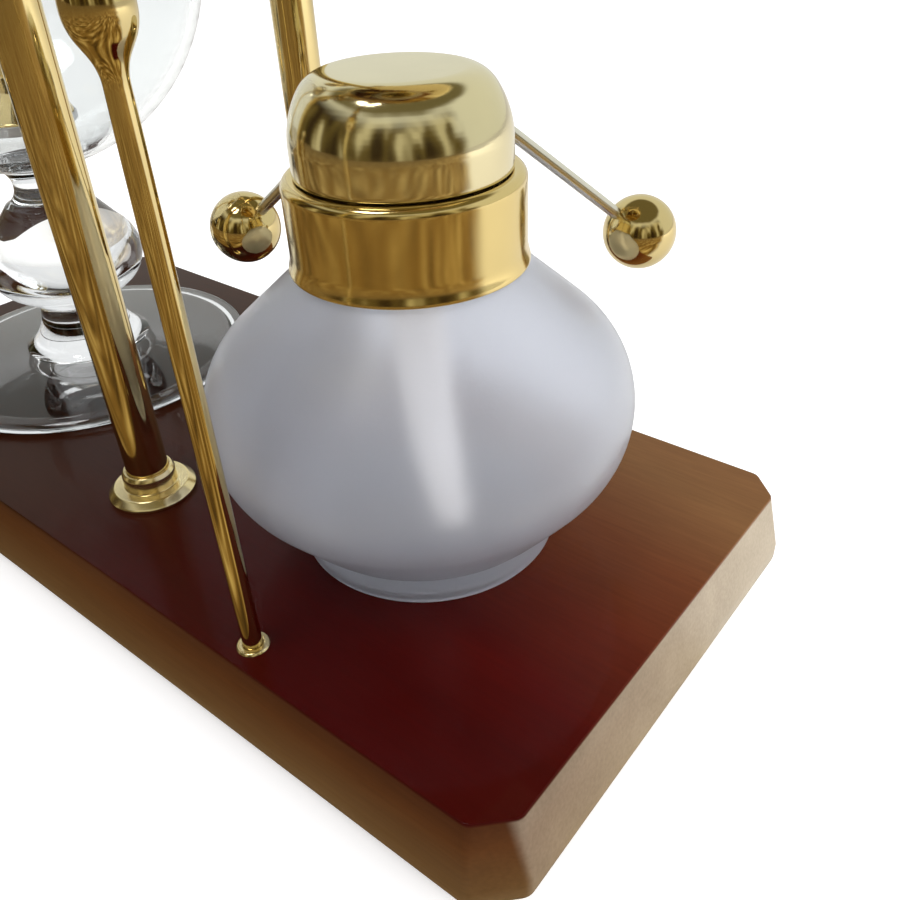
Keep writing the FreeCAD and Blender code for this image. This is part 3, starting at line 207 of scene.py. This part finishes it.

# %% [markdown]
# ## Wood
# The board is red mahogany under a satin lacquer. The stain went on by hand, so it is deep red
# at the lamp's corner, browner towards the back and olive at the other end. The sides carry the
# stain near the top and get paler towards their lower edge: that paleness is a painted
# reflection of the white table. The end face is painted pale, brighter towards the back: painted
# light from the window side. Grain is noise stretched along the board: fine dark pores over
# broad, slow changes of tone. One material does it all, with masks from the place on the board,
# because a stain has no seams.

# %% Lacquered mahogany
TOP_STAIN = [(0.20, (0.048, 0.0010, 0.0006, 1)), (0.36, (0.068, 0.0026, 0.0012, 1)),
             (0.52, (0.098, 0.014, 0.005, 1)), (0.72, (0.155, 0.042, 0.011, 1)),
             (0.92, (0.230, 0.105, 0.035, 1))]      # from the lamp's corner to the back
# Side colours, upwards: stain near the top; the pale lower stops are painted reflection of the
# white table.
SIDE_STAIN_AND_TABLE_REFLECTION = [(0.15, (0.260, 0.160, 0.070, 1)), (0.42, (0.150, 0.074, 0.024, 1)),
              (0.80, (0.105, 0.034, 0.008, 1)), (0.97, (0.075, 0.022, 0.006, 1))]    # upwards
STREAKS = [(0.30, (0.72, 0.70, 0.68, 1)), (0.70, (1.0, 1.0, 1.0, 1))]
OLIVE = (0.036, 0.009, 0.0016, 1)
# A pale colour over the end face: painted light from the window side.
PAINTED_END_LIGHT = (0.62, 0.53, 0.39, 1)

STAIN_START = -34 * MM          # where the top's stain starts, across the board
STAIN_RUN = 120 * MM            # how far it takes to turn from red to brown
STAIN_SLANT = 0.25              # how much of the way along the board counts too
OLIVE_FROM, OLIVE_TO = -25 * MM, 45 * MM        # along the board: olive fades out here
END_LIGHT_FROM, END_LIGHT_TO = -60 * MM, 50 * MM          # across the end face: painted light, brighter to the back
END_AT, CLIP_AT = 129 * MM, 53 * MM             # where the end face and the clips start
BORDER = 1 * MM                                 # half the width of those two borders
EDGE_LOW, EDGE_HIGH = 0.9 * MM, 0.3 * MM        # under the top face, where two stains meet


def mahogany():
    wood = Finish("lacquered_mahogany", Specular_IOR_Level=0.08, Coat_Weight=0.10,
                  Coat_Roughness=0.04)
    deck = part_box("base_board")[1].z
    where = wood.coordinates()
    broad = wood.noise(wood.coordinates(scale=(1, 9, 9)), 9.0, detail=3.0, distortion=0.4)
    pores = wood.noise(wood.coordinates(scale=(6, 90, 90)), 14.0, detail=5.0)
    cloud = wood.noise(where, 22.0, detail=2.0)
    x, y, z = (wood.dot(where, axis) for axis in ((1, 0, 0), (0, 1, 0), (0, 0, 1)))

    back = (y + x * STAIN_SLANT + cloud * (12 * MM) - STAIN_START) / STAIN_RUN
    top = wood.ramp(back, TOP_STAIN)
    far_end = (1 - wood.between(x, OLIVE_FROM, OLIVE_TO)) * 0.85
    top = wood.mix(far_end, top, OLIVE)

    height = z / deck + cloud * 0.12 - 0.06         # 0 on the table, 1 at the top face
    # The side: stain near the top, paler towards the lower edge as a painted reflection of the
    # white table.
    side = wood.ramp(height, SIDE_STAIN_AND_TABLE_REFLECTION)
    aside = y.math("ABSOLUTE", y)
    clips = wood.between(aside, CLIP_AT - BORDER, CLIP_AT + BORDER)
    end_face = wood.between(x, END_AT - BORDER, END_AT + BORDER) * (1 - clips)
    # Painted light over the end face, brighter towards the back.
    end_light_mask = end_face * (wood.between(y, END_LIGHT_FROM, END_LIGHT_TO) * 0.5 + 0.3)
    side = wood.mix(end_light_mask, side, PAINTED_END_LIGHT)

    on_top = wood.between(z, deck - EDGE_LOW, deck - EDGE_HIGH)
    colour = wood.mix(on_top, side, top)
    streaks = wood.ramp(broad * 0.5 + pores * 0.5, STREAKS)
    wood.drive("Base Color", wood.mix(1.0, colour, streaks, blend="MULTIPLY"))
    wood.drive("Roughness", cloud * 0.08 + 0.28)
    wood.bump(pores, 0.04 * MM, 0.3)
    return wood.material


MAHOGANY = mahogany()
print("finish", MAHOGANY.name)

# %% [markdown]
# ## Metals
# Polished brass is a metal with a low roughness. What makes it look real is what it reflects and
# the marks of the lathe: faint rings round the axis on the turned pieces, and slow changes of
# tone where fingers and heat have been. One function makes every brass, and plain steel is the
# same idea in grey, with a fine speckle.

# %% Brass and steel
def toned(metal, mask, colour, dark):
    """The metal's colour goes from dark times itself to itself along the mask."""
    shade = tuple(c * dark for c in colour) + (1,)
    metal.drive("Base Color", metal.mix(mask, shade, colour + (1,)))


def brass(name, roughness, colour=(0.80, 0.64, 0.31), rings=0.0):
    """The two noises add 0.05 on average, so roughness is the mean; rings is a depth in mm."""
    metal = Finish(name, Metallic=1.0)
    where = metal.coordinates()
    cloud = metal.noise(where, 55.0, detail=3.0)
    fine = metal.noise(where, 900.0, detail=2.0)
    toned(metal, cloud, colour, dark=0.80)
    metal.drive("Roughness", cloud * 0.06 + fine * 0.04 + (roughness - 0.05))
    if rings:
        height = metal.node("ShaderNodeSeparateXYZ", None, {"Vector": where}, output="Z")
        line = metal.noise(metal.node("ShaderNodeCombineXYZ", None, {"Z": height}), 4000.0)
        metal.bump(line, rings * MM)
    return metal.material


def steel():
    metal = Finish("plain_steel", Metallic=1.0)
    speckle = metal.noise(metal.coordinates(), 700.0, detail=3.0)
    toned(metal, speckle, (0.55, 0.55, 0.56), dark=0.85)
    metal.drive("Roughness", speckle * 0.1 + 0.30)
    return metal.material


BRASS = brass("polished_brass", 0.09)
LID_BRASS = brass("lid_brass", 0.12, colour=(0.84, 0.74, 0.46))
SPUN_BRASS = brass("spun_brass", 0.14, colour=(0.82, 0.64, 0.28), rings=0.002)
# Flanges, ferrule and band: the paler colour is a painted highlight for their bright chamfers.
PALE_BRASS_PAINTED_HIGHLIGHT = brass("pale_brass", 0.20, colour=(0.90, 0.75, 0.42))
# Lid rods: the near-white colour is a painted reflection of the pale room, not worn brass.
ROD_BRASS = brass("rod_brass_painted_reflection", 0.22, colour=(0.90, 0.86, 0.76))
STEEL = steel()
print("finishes", [m.name for m in (BRASS, LID_BRASS, SPUN_BRASS, PALE_BRASS_PAINTED_HIGHLIGHT, ROD_BRASS,
                                   STEEL)])

# %% [markdown]
# ## Glass, rubber and cotton
# The lamp's bowl is sandblasted: light gets through, but the surface scatters it, so the wick
# behind is a soft pale band. Transmission with a high roughness does that, and the share that is
# left over for plain diffuse colour gives the bluish bloom. The serving glass is clear. Rubber is
# black and dull. Cotton gets the slanting bands of a braid, and gives off a little light of its
# own to make up for what the rough glass in front of it swallows.

# %% Frosted and clear glass, rubber, cotton
def frosted_glass():
    glass = Finish("frosted_glass", Transmission_Weight=0.82, IOR=1.4)
    grain = glass.noise(glass.coordinates(), 1500.0, detail=3.0)
    cloud = glass.noise(glass.coordinates(), 30.0, detail=2.0)
    glass.drive("Base Color", glass.mix(cloud, (0.76, 0.78, 0.84, 1), (0.82, 0.84, 0.89, 1)))
    glass.drive("Roughness", cloud * 0.04 + 0.28)
    glass.bump(grain, 0.03 * MM, 0.5)
    return glass.material


def clear_glass():
    glass = Finish("clear_glass", Transmission_Weight=1.0, IOR=1.45)
    cloud = glass.noise(glass.coordinates(), 40.0, detail=2.0)
    glass.drive("Base Color", glass.mix(cloud, (0.84, 0.86, 0.87, 1), (0.90, 0.92, 0.92, 1)))
    glass.drive("Roughness", cloud * 0.02)
    return glass.material


def rubber():
    soft = Finish("black_rubber", Roughness=0.7)
    speckle = soft.noise(soft.coordinates(), 800.0, detail=4.0)
    soft.drive("Base Color", soft.mix(speckle, (0.012, 0.012, 0.012, 1), (0.03, 0.03, 0.03, 1)))
    soft.bump(speckle, 0.05 * MM, 0.5)
    return soft.material


def cotton():
    yarn = Finish("braided_cotton", Roughness=0.9, Emission_Strength=0.5)
    braid = yarn.node("ShaderNodeTexWave", {"bands_direction": "DIAGONAL"},
                      {"Vector": yarn.coordinates(), "Scale": 260.0, "Distortion": 1.5})
    colour = yarn.mix(braid, (0.74, 0.68, 0.62, 1), (0.95, 0.93, 0.89, 1))
    yarn.drive("Base Color", colour)
    yarn.drive("Emission Color", colour)
    yarn.bump(braid, 0.3 * MM)
    return yarn.material


FROSTED, CLEAR, RUBBER, COTTON = frosted_glass(), clear_glass(), rubber(), cotton()
print("finishes", [m.name for m in (FROSTED, CLEAR, RUBBER, COTTON)])

# %% [markdown]
# ## Turned pieces, spun again from their own section
# Most of this object came off a lathe or a glass-blower's mould, so each piece is one outline
# turned about an axis. The CAD mesh is a triangle net, fine for a shape but not for a mirror
# finish. So a copy of it is cut in half through its axis with bisect_plane, which leaves the
# outline, and spin turns that outline into even quads. A small bevel on the sharp rings catches
# the light, and Subdivision Surface rounds what lies between.

# %% Spin a node's own section
STEPS = 72                                  # flats round one turned piece
EDGE_ROUND = 0.15 * MM                      # what the lathe tool leaves on a sharp ring
SHARP = math.radians(24)                    # a ring that turns more than this is sharp
STRAIGHT = math.radians(0.4)                # a point that turns less than this isn't needed
FULL_REACH = 0.99                           # of the widest outline: less is a bore across
# Points nearer than this are one: in the copy, in its section and in the spun piece.
JOIN_COPY, JOIN_SECTION, JOIN_SPUN = 0.002 * MM, 0.004 * MM, 0.003 * MM
# Points nearer than this to the cutting plane or to the axis lie on it.
ON_PLANE, ON_AXIS = 0.001 * MM, 0.01 * MM
TURN_TO_Z = {"Z": Matrix.Identity(4), "Y": Matrix.Rotation(math.pi / 2, 4, "X"),
             "X": Matrix.Rotation(-math.pi / 2, 4, "Y")}


def merged_copy(node):
    """The CAD node's triangles as a bmesh with its doubles merged."""
    bm = bmesh.new()
    bm.from_mesh(NODES[node].data)
    bmesh.ops.remove_doubles(bm, verts=bm.verts, dist=JOIN_COPY)
    return bm


def centre_of(node, axis):
    low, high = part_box(node)
    centre = (low + high) / 2
    centre["XYZ".index(axis)] = 0.0
    return centre


def section_of(bm):
    """Leave only the outline in the half plane y = 0, x > 0, without the bores across it."""
    everything = bm.verts[:] + bm.edges[:] + bm.faces[:]
    bmesh.ops.bisect_plane(bm, geom=everything, plane_co=(0, 0, 0), plane_no=(0, 1, 0),
                           dist=ON_PLANE, clear_inner=True, clear_outer=True)
    bmesh.ops.bisect_plane(bm, geom=bm.verts[:] + bm.edges[:], plane_co=(0, 0, 0),
                           plane_no=(1, 0, 0), dist=ON_PLANE, clear_inner=True)
    bmesh.ops.remove_doubles(bm, verts=bm.verts, dist=JOIN_SECTION)
    on_axis = [e for e in bm.edges if max(v.co.x for v in e.verts) < ON_AXIS]
    bmesh.ops.delete(bm, geom=on_axis, context="EDGES")
    chains = []
    left = set(bm.verts)
    while left:
        chain, to_visit = set(), [left.pop()]
        while to_visit:
            vertex = to_visit.pop()
            chain.add(vertex)
            for e in vertex.link_edges:
                other = e.other_vert(vertex)
                if other in left:
                    left.remove(other)
                    to_visit.append(other)
        chains.append(chain)
    reach = [max(v.co.x for v in chain) for chain in chains]
    short = [v for chain, r in zip(chains, reach) if r < max(reach) * FULL_REACH for v in chain]
    bmesh.ops.delete(bm, geom=short, context="VERTS")
    straight = [v for v in bm.verts if len(v.link_edges) == 2
                and v.calc_edge_angle(0) < STRAIGHT]
    bmesh.ops.dissolve_verts(bm, verts=straight)


def show(bm, name, node, finish, levels=1):
    """Make the object, give it its finish and let it stand for the CAD node."""
    mesh = bpy.data.meshes.new(name)
    for face in bm.faces:
        face.smooth = True
    bm.to_mesh(mesh)
    bm.free()
    piece = bpy.data.objects.new(name, mesh)
    scene.collection.objects.link(piece)
    mesh.materials.append(finish)
    if levels:
        smooth = piece.modifiers.new("smooth", "SUBSURF")
        smooth.levels = levels
        smooth.render_levels = levels
    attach(piece, BODY_OF[node])
    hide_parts(node)
    return piece


def soften(bm, edges, width, segments):
    """Round the edges by a small bevel."""
    bmesh.ops.bevel(bm, geom=edges, offset=width, offset_type="OFFSET", segments=segments,
                    profile=0.5, affect="EDGES", clamp_overlap=True, material=-1)


def turned(node, finish, axis):
    """The node's section, stood upright on the z axis, spun and laid back in its place."""
    to_z = TURN_TO_Z[axis]
    centre = Matrix.Translation(-centre_of(node, axis))
    bm = merged_copy(node)
    bmesh.ops.transform(bm, matrix=to_z @ centre, verts=bm.verts)
    section_of(bm)
    bmesh.ops.spin(bm, geom=bm.verts[:] + bm.edges[:], cent=(0, 0, 0), axis=(0, 0, 1),
                   angle=math.tau, steps=STEPS, use_merge=True)
    bmesh.ops.remove_doubles(bm, verts=bm.verts, dist=JOIN_SPUN)
    bmesh.ops.recalc_face_normals(bm, faces=bm.faces)
    sharp = [e for e in bm.edges if e.is_manifold and e.calc_face_angle(0) > SHARP]
    soften(bm, sharp, EDGE_ROUND, segments=2)
    bmesh.ops.transform(bm, matrix=(to_z @ centre).inverted(), verts=bm.verts)
    return show(bm, f"{node}_look", node, finish)


print("turning helpers ready")

# %% [markdown]
# ## The turned pieces
# Columns, flanges, finials, the post and the lamp stand upright, so they turn about z. The axle,
# the bridge, the pins and the tap's sleeve lie across the board, and the two counterweights
# along it. A list of axis, finish and nodes is enough, because the outline itself comes from the
# CAD node.

# %% Turn them all
TURNED = [
    # axis, finish, nodes
    ("Z", BRASS, ["column_front", "column_back", "column_head_front", "column_head_back",
                  "column_finial_front", "column_finial_back", "rest_post", "filler_cap",
                  "filler_neck", "gland_neck", "glass_lid", "boiler_base",
                  "boiler_shell", "filter_head", "wick_holder"]),
    ("Z", PALE_BRASS_PAINTED_HIGHLIGHT, ["column_flange_front", "column_flange_back", "rest_post_ferrule",
                       "boiler_band"]),
    ("Z", SPUN_BRASS, ["lamp_collar"]),
    ("Z", LID_BRASS, ["lamp_lid"]),
    ("Z", FROSTED, ["lamp_glass"]),
    ("Z", CLEAR, ["serving_glass"]),
    ("Z", RUBBER, ["neck_gasket", "filler_gasket", "tube_stopper"]),
    ("Z", STEEL, ["filter_screen"]),
    ("Y", BRASS, ["axle_bush_front", "axle_bush_back", "beam_axle", "column_bridge", "axle_nuts",
                  "axle_spacers", "trunnions", "trunnion_nuts"]),
    ("Y", STEEL, ["stop_pins"]),
    ("Y", RUBBER, ["tap_sleeve"]),
    ("X", BRASS, ["counterweight_front", "counterweight_back"]),
]
for axis, finish, nodes in TURNED:
    for node in nodes:
        piece = turned(node, finish, axis)
        print(f"{piece.name}: {len(piece.data.vertices)} points")

# %% [markdown]
# ## Pieces that were cut, bent or filed
# These keep the CAD's own faces. A merged copy with flat areas joined is enough, and a Bevel
# modifier takes the knife edge off, because no real edge is perfectly sharp. The board's clipped
# corners were sanded by hand, so the edges that run down them get a wider round of their own.

# %% Copy, join flats and round the edges
FLAT = math.radians(0.5)                    # faces that turn less than this are one flat
CORNER = math.radians(30)                   # edges that turn more than this stay crisp


def filed(node):
    """The node's mesh with its flat areas joined."""
    bm = merged_copy(node)
    bmesh.ops.dissolve_limit(bm, angle_limit=FLAT, verts=bm.verts, edges=bm.edges)
    return bm


def shaped(node, finish, edge, bm=None):
    """A node that keeps its CAD faces, or the changed copy bm, with edge as its edges' round."""
    bm = bm or filed(node)
    for e in bm.edges:
        e.smooth = not (e.is_manifold and e.calc_face_angle(0) > CORNER)
    piece = show(bm, f"{node}_look", node, finish, levels=0)
    if edge:
        rounding = piece.modifiers.new("rounding", "BEVEL")
        rounding.width = edge
        rounding.segments = 2
        rounding.limit_method = "ANGLE"
        rounding.angle_limit = CORNER
        rounding.harden_normals = True
    return piece


CORNER_ROUND = 1.0 * MM
OUTER_X, OUTER_Y = 100 * MM, 50 * MM        # the clipped corners lie outside these
STEEP = 0.3                                 # rise over length of an edge that runs down


def rounded_board():
    """The board, with the edges that run down its clipped corners sanded round."""
    bm = filed("base_board")
    upright = []
    for e in bm.edges:
        run = e.verts[1].co - e.verts[0].co
        outer = all(abs(v.co.x) > OUTER_X or abs(v.co.y) > OUTER_Y for v in e.verts)
        if outer and abs(run.z) > run.length * STEEP and e.calc_face_angle(0) > CORNER:
            upright.append(e)
    soften(bm, upright, CORNER_ROUND, segments=4)
    return bm


print("filing helpers ready")

# %% File them all
SHAPED = [
    (RUBBER, 0.0, ["base_pad"]),
    (BRASS, 0.25 * MM, ["beam_arm_front", "beam_arm_back", "rest_cradle", "hinge_leaf",
                        "lid_knuckle", "tap_body", "tap_key", "siphon_tube"]),
    (STEEL, 0.1 * MM, ["column_washers", "column_nuts", "collar_screws", "hinge_pin"]),
    (ROD_BRASS, 0.0, ["lid_rod_left", "lid_rod_right"]),
]
for finish, edge, nodes in SHAPED:
    for node in nodes:
        piece = shaped(node, finish, edge)
        print(f"{piece.name}: {len(piece.data.vertices)} points")

print(shaped("base_board", MAHOGANY, edge=0.5 * MM, bm=rounded_board()).name)

# %% [markdown]
# ## The boss for the tap
# The bulb has a short round boss on its side for the tap's rubber sleeve. A spin can't give it,
# since it lies across the axis. So it is a second piece of the serving glass: the CAD's own
# faces round the hole, with the spun bulb closing behind them.

# %% Keep the faces round the tap's hole
BOSS_AT = -25 * MM                          # across the board: the boss is nearer than this
BOSS_SPARE = 0.1 * MM                       # more than the sleeve's radius


def tap_boss():
    low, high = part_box("tap_sleeve")
    centre, radius = (low + high) / 2, (high.x - low.x) / 2 + BOSS_SPARE
    bm = merged_copy("serving_glass")
    away = [f for f in bm.faces
            if any(v.co.y > BOSS_AT or (v.co - centre).xz.length > radius for v in f.verts)]
    bmesh.ops.delete(bm, geom=away, context="FACES")
    for e in bm.edges:
        e.smooth = e.calc_face_angle(0) < CORNER
    return show(bm, "tap_boss_look", "serving_glass", CLEAR, levels=0)


print(tap_boss().name)

# %% [markdown]
# ## The lid's ball weights
# Each rod of the lid ends in a brass ball, bored for the rod. The bore is filled, so a plain
# sphere of the node's own size is the same to the eye, and its rings of quads shine evenly. A
# spin of the node's section would show the bore, which runs at a slant to every axis.

# %% Two spheres
for node in ("lid_ball_left", "lid_ball_right"):
    low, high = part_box(node)
    bm = bmesh.new()
    bmesh.ops.create_uvsphere(bm, u_segments=48, v_segments=24, radius=(high.z - low.z) / 2,
                              matrix=Matrix.Translation((low + high) / 2))
    piece = show(bm, f"{node}_look", node, BRASS)
    print(f"{piece.name}: {len(piece.data.vertices)} points")

# %% [markdown]
# ## The wick
# A spirit lamp's wick is a soft braided cotton cord. It stands a few millimetres out of the
# burner tube, fills it, and hangs into the bowl, where its lower end turns aside. It is a curve
# with a round section, because a limp cord is one smooth line.

# %% Hang the wick
LAMP_AT = Vector((70.0, -1.5, 26.0)) * MM
WICK_HEADING = math.radians(-31.6)
WICK_ROUTE = [(0, 94), (0, 62), (5, 29), (19, 12)]     # mm off the lamp's axis, mm over the board
WICK_THICK = 11 * MM
WICK_PINCH = 0.6                                       # of the thickness, at the cut end


def on_route(aside, height):
    return LAMP_AT + Vector((aside * math.cos(WICK_HEADING), aside * math.sin(WICK_HEADING),
                             height)) * MM


curve = bpy.data.curves.new("wick_look", "CURVE")
curve.dimensions = "3D"
line = curve.splines.new("NURBS")
line.points.add(len(WICK_ROUTE) - 1)
for point, stop in zip(line.points, WICK_ROUTE):
    point.co = on_route(*stop).to_4d()
line.points[-1].radius = WICK_PINCH
line.order_u = 3
line.use_endpoint_u = True
line.resolution_u = 16
curve.bevel_depth = WICK_THICK / 2
curve.bevel_resolution = 8
curve.use_fill_caps = True
curve.materials.append(COTTON)
wick = bpy.data.objects.new("wick_look", curve)
scene.collection.objects.link(wick)
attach(wick, "lamp")
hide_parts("wick")
print("wick hung, measured length", round(line.calc_length(), 4))

# %% [markdown]
# ## The room
# Polished metal has hardly any look of its own: it shows the room. So the room is drawn as
# carefully as the object. What the camera and the glass see is plain white, and matt surfaces
# get an even, faintly blue light. What a mirror sees is a pale room with dark shelves on the
# viewer's side and a dim patch overhead. Light Path tells a shader which kind of ray is asking.

# %% What a mirror sees
WHITE = (1, 1, 1, 1)
EVEN_LIGHT = (0.72, 0.72, 0.74, 1)
PALE_WALL = (0.80, 0.82, 0.76, 1)
DIM_CEILING = (0.17, 0.145, 0.07, 1)
SHELVES = [(0.42, (0.035, 0.022, 0.008, 1)), (0.56, (0.14, 0.105, 0.035, 1)),
           (0.68, (0.62, 0.58, 0.40, 1))]           # from the gaps to the things on them
SHELF_TOP = (0.45, 0.75)                            # sine of the elevation where they fade
CEILING_EDGE = (0.70, 0.80)                         # and where the ceiling starts
DARK_STARTS, DARK_ENDS = (-2.6, -2.2), (1.05, 1.3)  # radians round from the viewer
TO_VIEWER = (0.6257, -0.7801, 0.0)
TO_RIGHT = (0.7801, 0.6257, 0.0)


def asked_by(nodes, *kinds):
    """1 when the ray is one of the named kinds."""
    wires = [nodes.node("ShaderNodeLightPath", output=kind) for kind in kinds]
    total = wires[0]
    for wire in wires[1:]:
        total = total.math("MAXIMUM", total, wire)
    return total


def viewers_side(nodes, direction, wobble):
    """1 where a direction points to the dark side of the room, from left round to the right."""
    turn = nodes.dot(direction, TO_RIGHT)
    turn = turn.math("ARCTAN2", turn, nodes.dot(direction, TO_VIEWER))
    ragged = turn + wobble * 0.5 - 0.25
    return nodes.between(ragged, *DARK_STARTS) * (1 - nodes.between(ragged, *DARK_ENDS))


def room():
    world = bpy.data.worlds.new("room")
    world.use_nodes = True
    scene.world = world
    nodes = Nodes(world.node_tree)
    direction = nodes.node("ShaderNodeTexCoord", output="Generated")
    wobble = nodes.noise(direction, 2.5)
    height = nodes.dot(direction, (0, 0, 1))
    upright = nodes.node("ShaderNodeMapping", None, {"Vector": direction, "Scale": (1, 1, 0.2)})
    shelves = nodes.ramp(nodes.noise(upright, 3.6, detail=1.0, distortion=0.3), SHELVES)
    dark = viewers_side(nodes, direction, wobble) * (1 - nodes.between(height, *SHELF_TOP))
    overhead = nodes.between(height + wobble * 0.10, *CEILING_EDGE)
    seen = nodes.mix(dark, PALE_WALL, shelves)
    seen = nodes.mix(overhead, seen, DIM_CEILING)
    seen = nodes.mix(asked_by(nodes, "Is Glossy Ray"), EVEN_LIGHT, seen)
    seen = nodes.mix(asked_by(nodes, "Is Camera Ray", "Is Transmission Ray"), seen, WHITE)
    background = world.node_tree.nodes["Background"]
    world.node_tree.links.new(seen.socket, background.inputs["Color"])
    background.inputs["Strength"].default_value = 1.0


room()
print("room ready")

# %% [markdown]
# ## The table
# The object stands on a plain white sheet that carries its shadow. A mirror low over the table
# shows mostly the table, so in a mirror the sheet turns into a wooden table top near the viewer.
# A little light of its own keeps the sheet white to the eye without a brighter lamp, which would
# burn out the board.

# %% White to the eye, brown in a mirror
BROWN_PLANKS = [(0.32, (0.055, 0.030, 0.007, 1)), (0.52, (0.24, 0.145, 0.038, 1)),
                (0.74, (0.68, 0.55, 0.26, 1))]
PALE_TABLE = (0.85, 0.84, 0.80, 1)
WHITE_SHEET = (0.88, 0.88, 0.88, 1)
SHEET_GLOW = (0.42, 0.42, 0.42, 1)
NO_GLOW = (0, 0, 0, 1)
LAMP_SPOT = (70 * MM, 0.0, 0.0)             # the viewer's side is measured from here
FLOOR_HALF = 3.0                            # metres from the middle to the floor's edge


def white_table():
    table = Finish("white_table", Roughness=0.9, Specular_IOR_Level=0.2, Emission_Strength=1.0)
    place = table.coordinates(centre=LAMP_SPOT)
    wobble = table.noise(place, 6.0)
    grain = table.noise(table.coordinates(scale=(2.0, 9.0, 1.0)), 4.0, detail=2.0)
    brown = table.ramp(grain, BROWN_PLANKS)
    mirrored = table.mix(viewers_side(table, place, wobble), PALE_TABLE, brown)
    table.drive("Base Color", table.mix(asked_by(table, "Is Glossy Ray"), WHITE_SHEET, mirrored))
    plain = asked_by(table, "Is Camera Ray", "Is Transmission Ray")
    table.drive("Emission Color", table.mix(plain, NO_GLOW, SHEET_GLOW))
    return table.material


bm = bmesh.new()
bmesh.ops.create_grid(bm, x_segments=1, y_segments=1, size=FLOOR_HALF)
floor_mesh = bpy.data.meshes.new("floor")
bm.to_mesh(floor_mesh)
bm.free()
floor = bpy.data.objects.new("floor", floor_mesh)
scene.collection.objects.link(floor)
floor_mesh.materials.append(white_table())
print("table", 2 * FLOOR_HALF, "m wide")

# %% [markdown]
# ## The lights
# A wide soft window light from the right shapes the bowl and the board. It is hidden from
# mirrors, or it would hang in every ball as a white disc. A small ceiling light is left for
# them, because one bright spot is what makes brass look polished.

# %% Window and ceiling
def light(name, at, aim, size, power, mirrored):
    data = bpy.data.lights.new(name, "AREA")
    data.shape = "DISK"
    data.size = size
    data.energy = power
    disc = bpy.data.objects.new(name, data)
    turn = (Vector(aim) - Vector(at)).to_track_quat("-Z", "Y")
    disc.matrix_world = Matrix.Translation(at) @ turn.to_matrix().to_4x4()
    disc.visible_glossy = mirrored
    scene.collection.objects.link(disc)
    print(name, "light:", power, "W from", at)


light("window", at=(0.95, 0.45, 0.55), aim=(0.05, 0, 0.06), size=1.5, power=11, mirrored=False)
light("ceiling", at=(-0.1, -0.5, 1.3), aim=(0, 0, 0.1), size=0.45, power=4, mirrored=True)
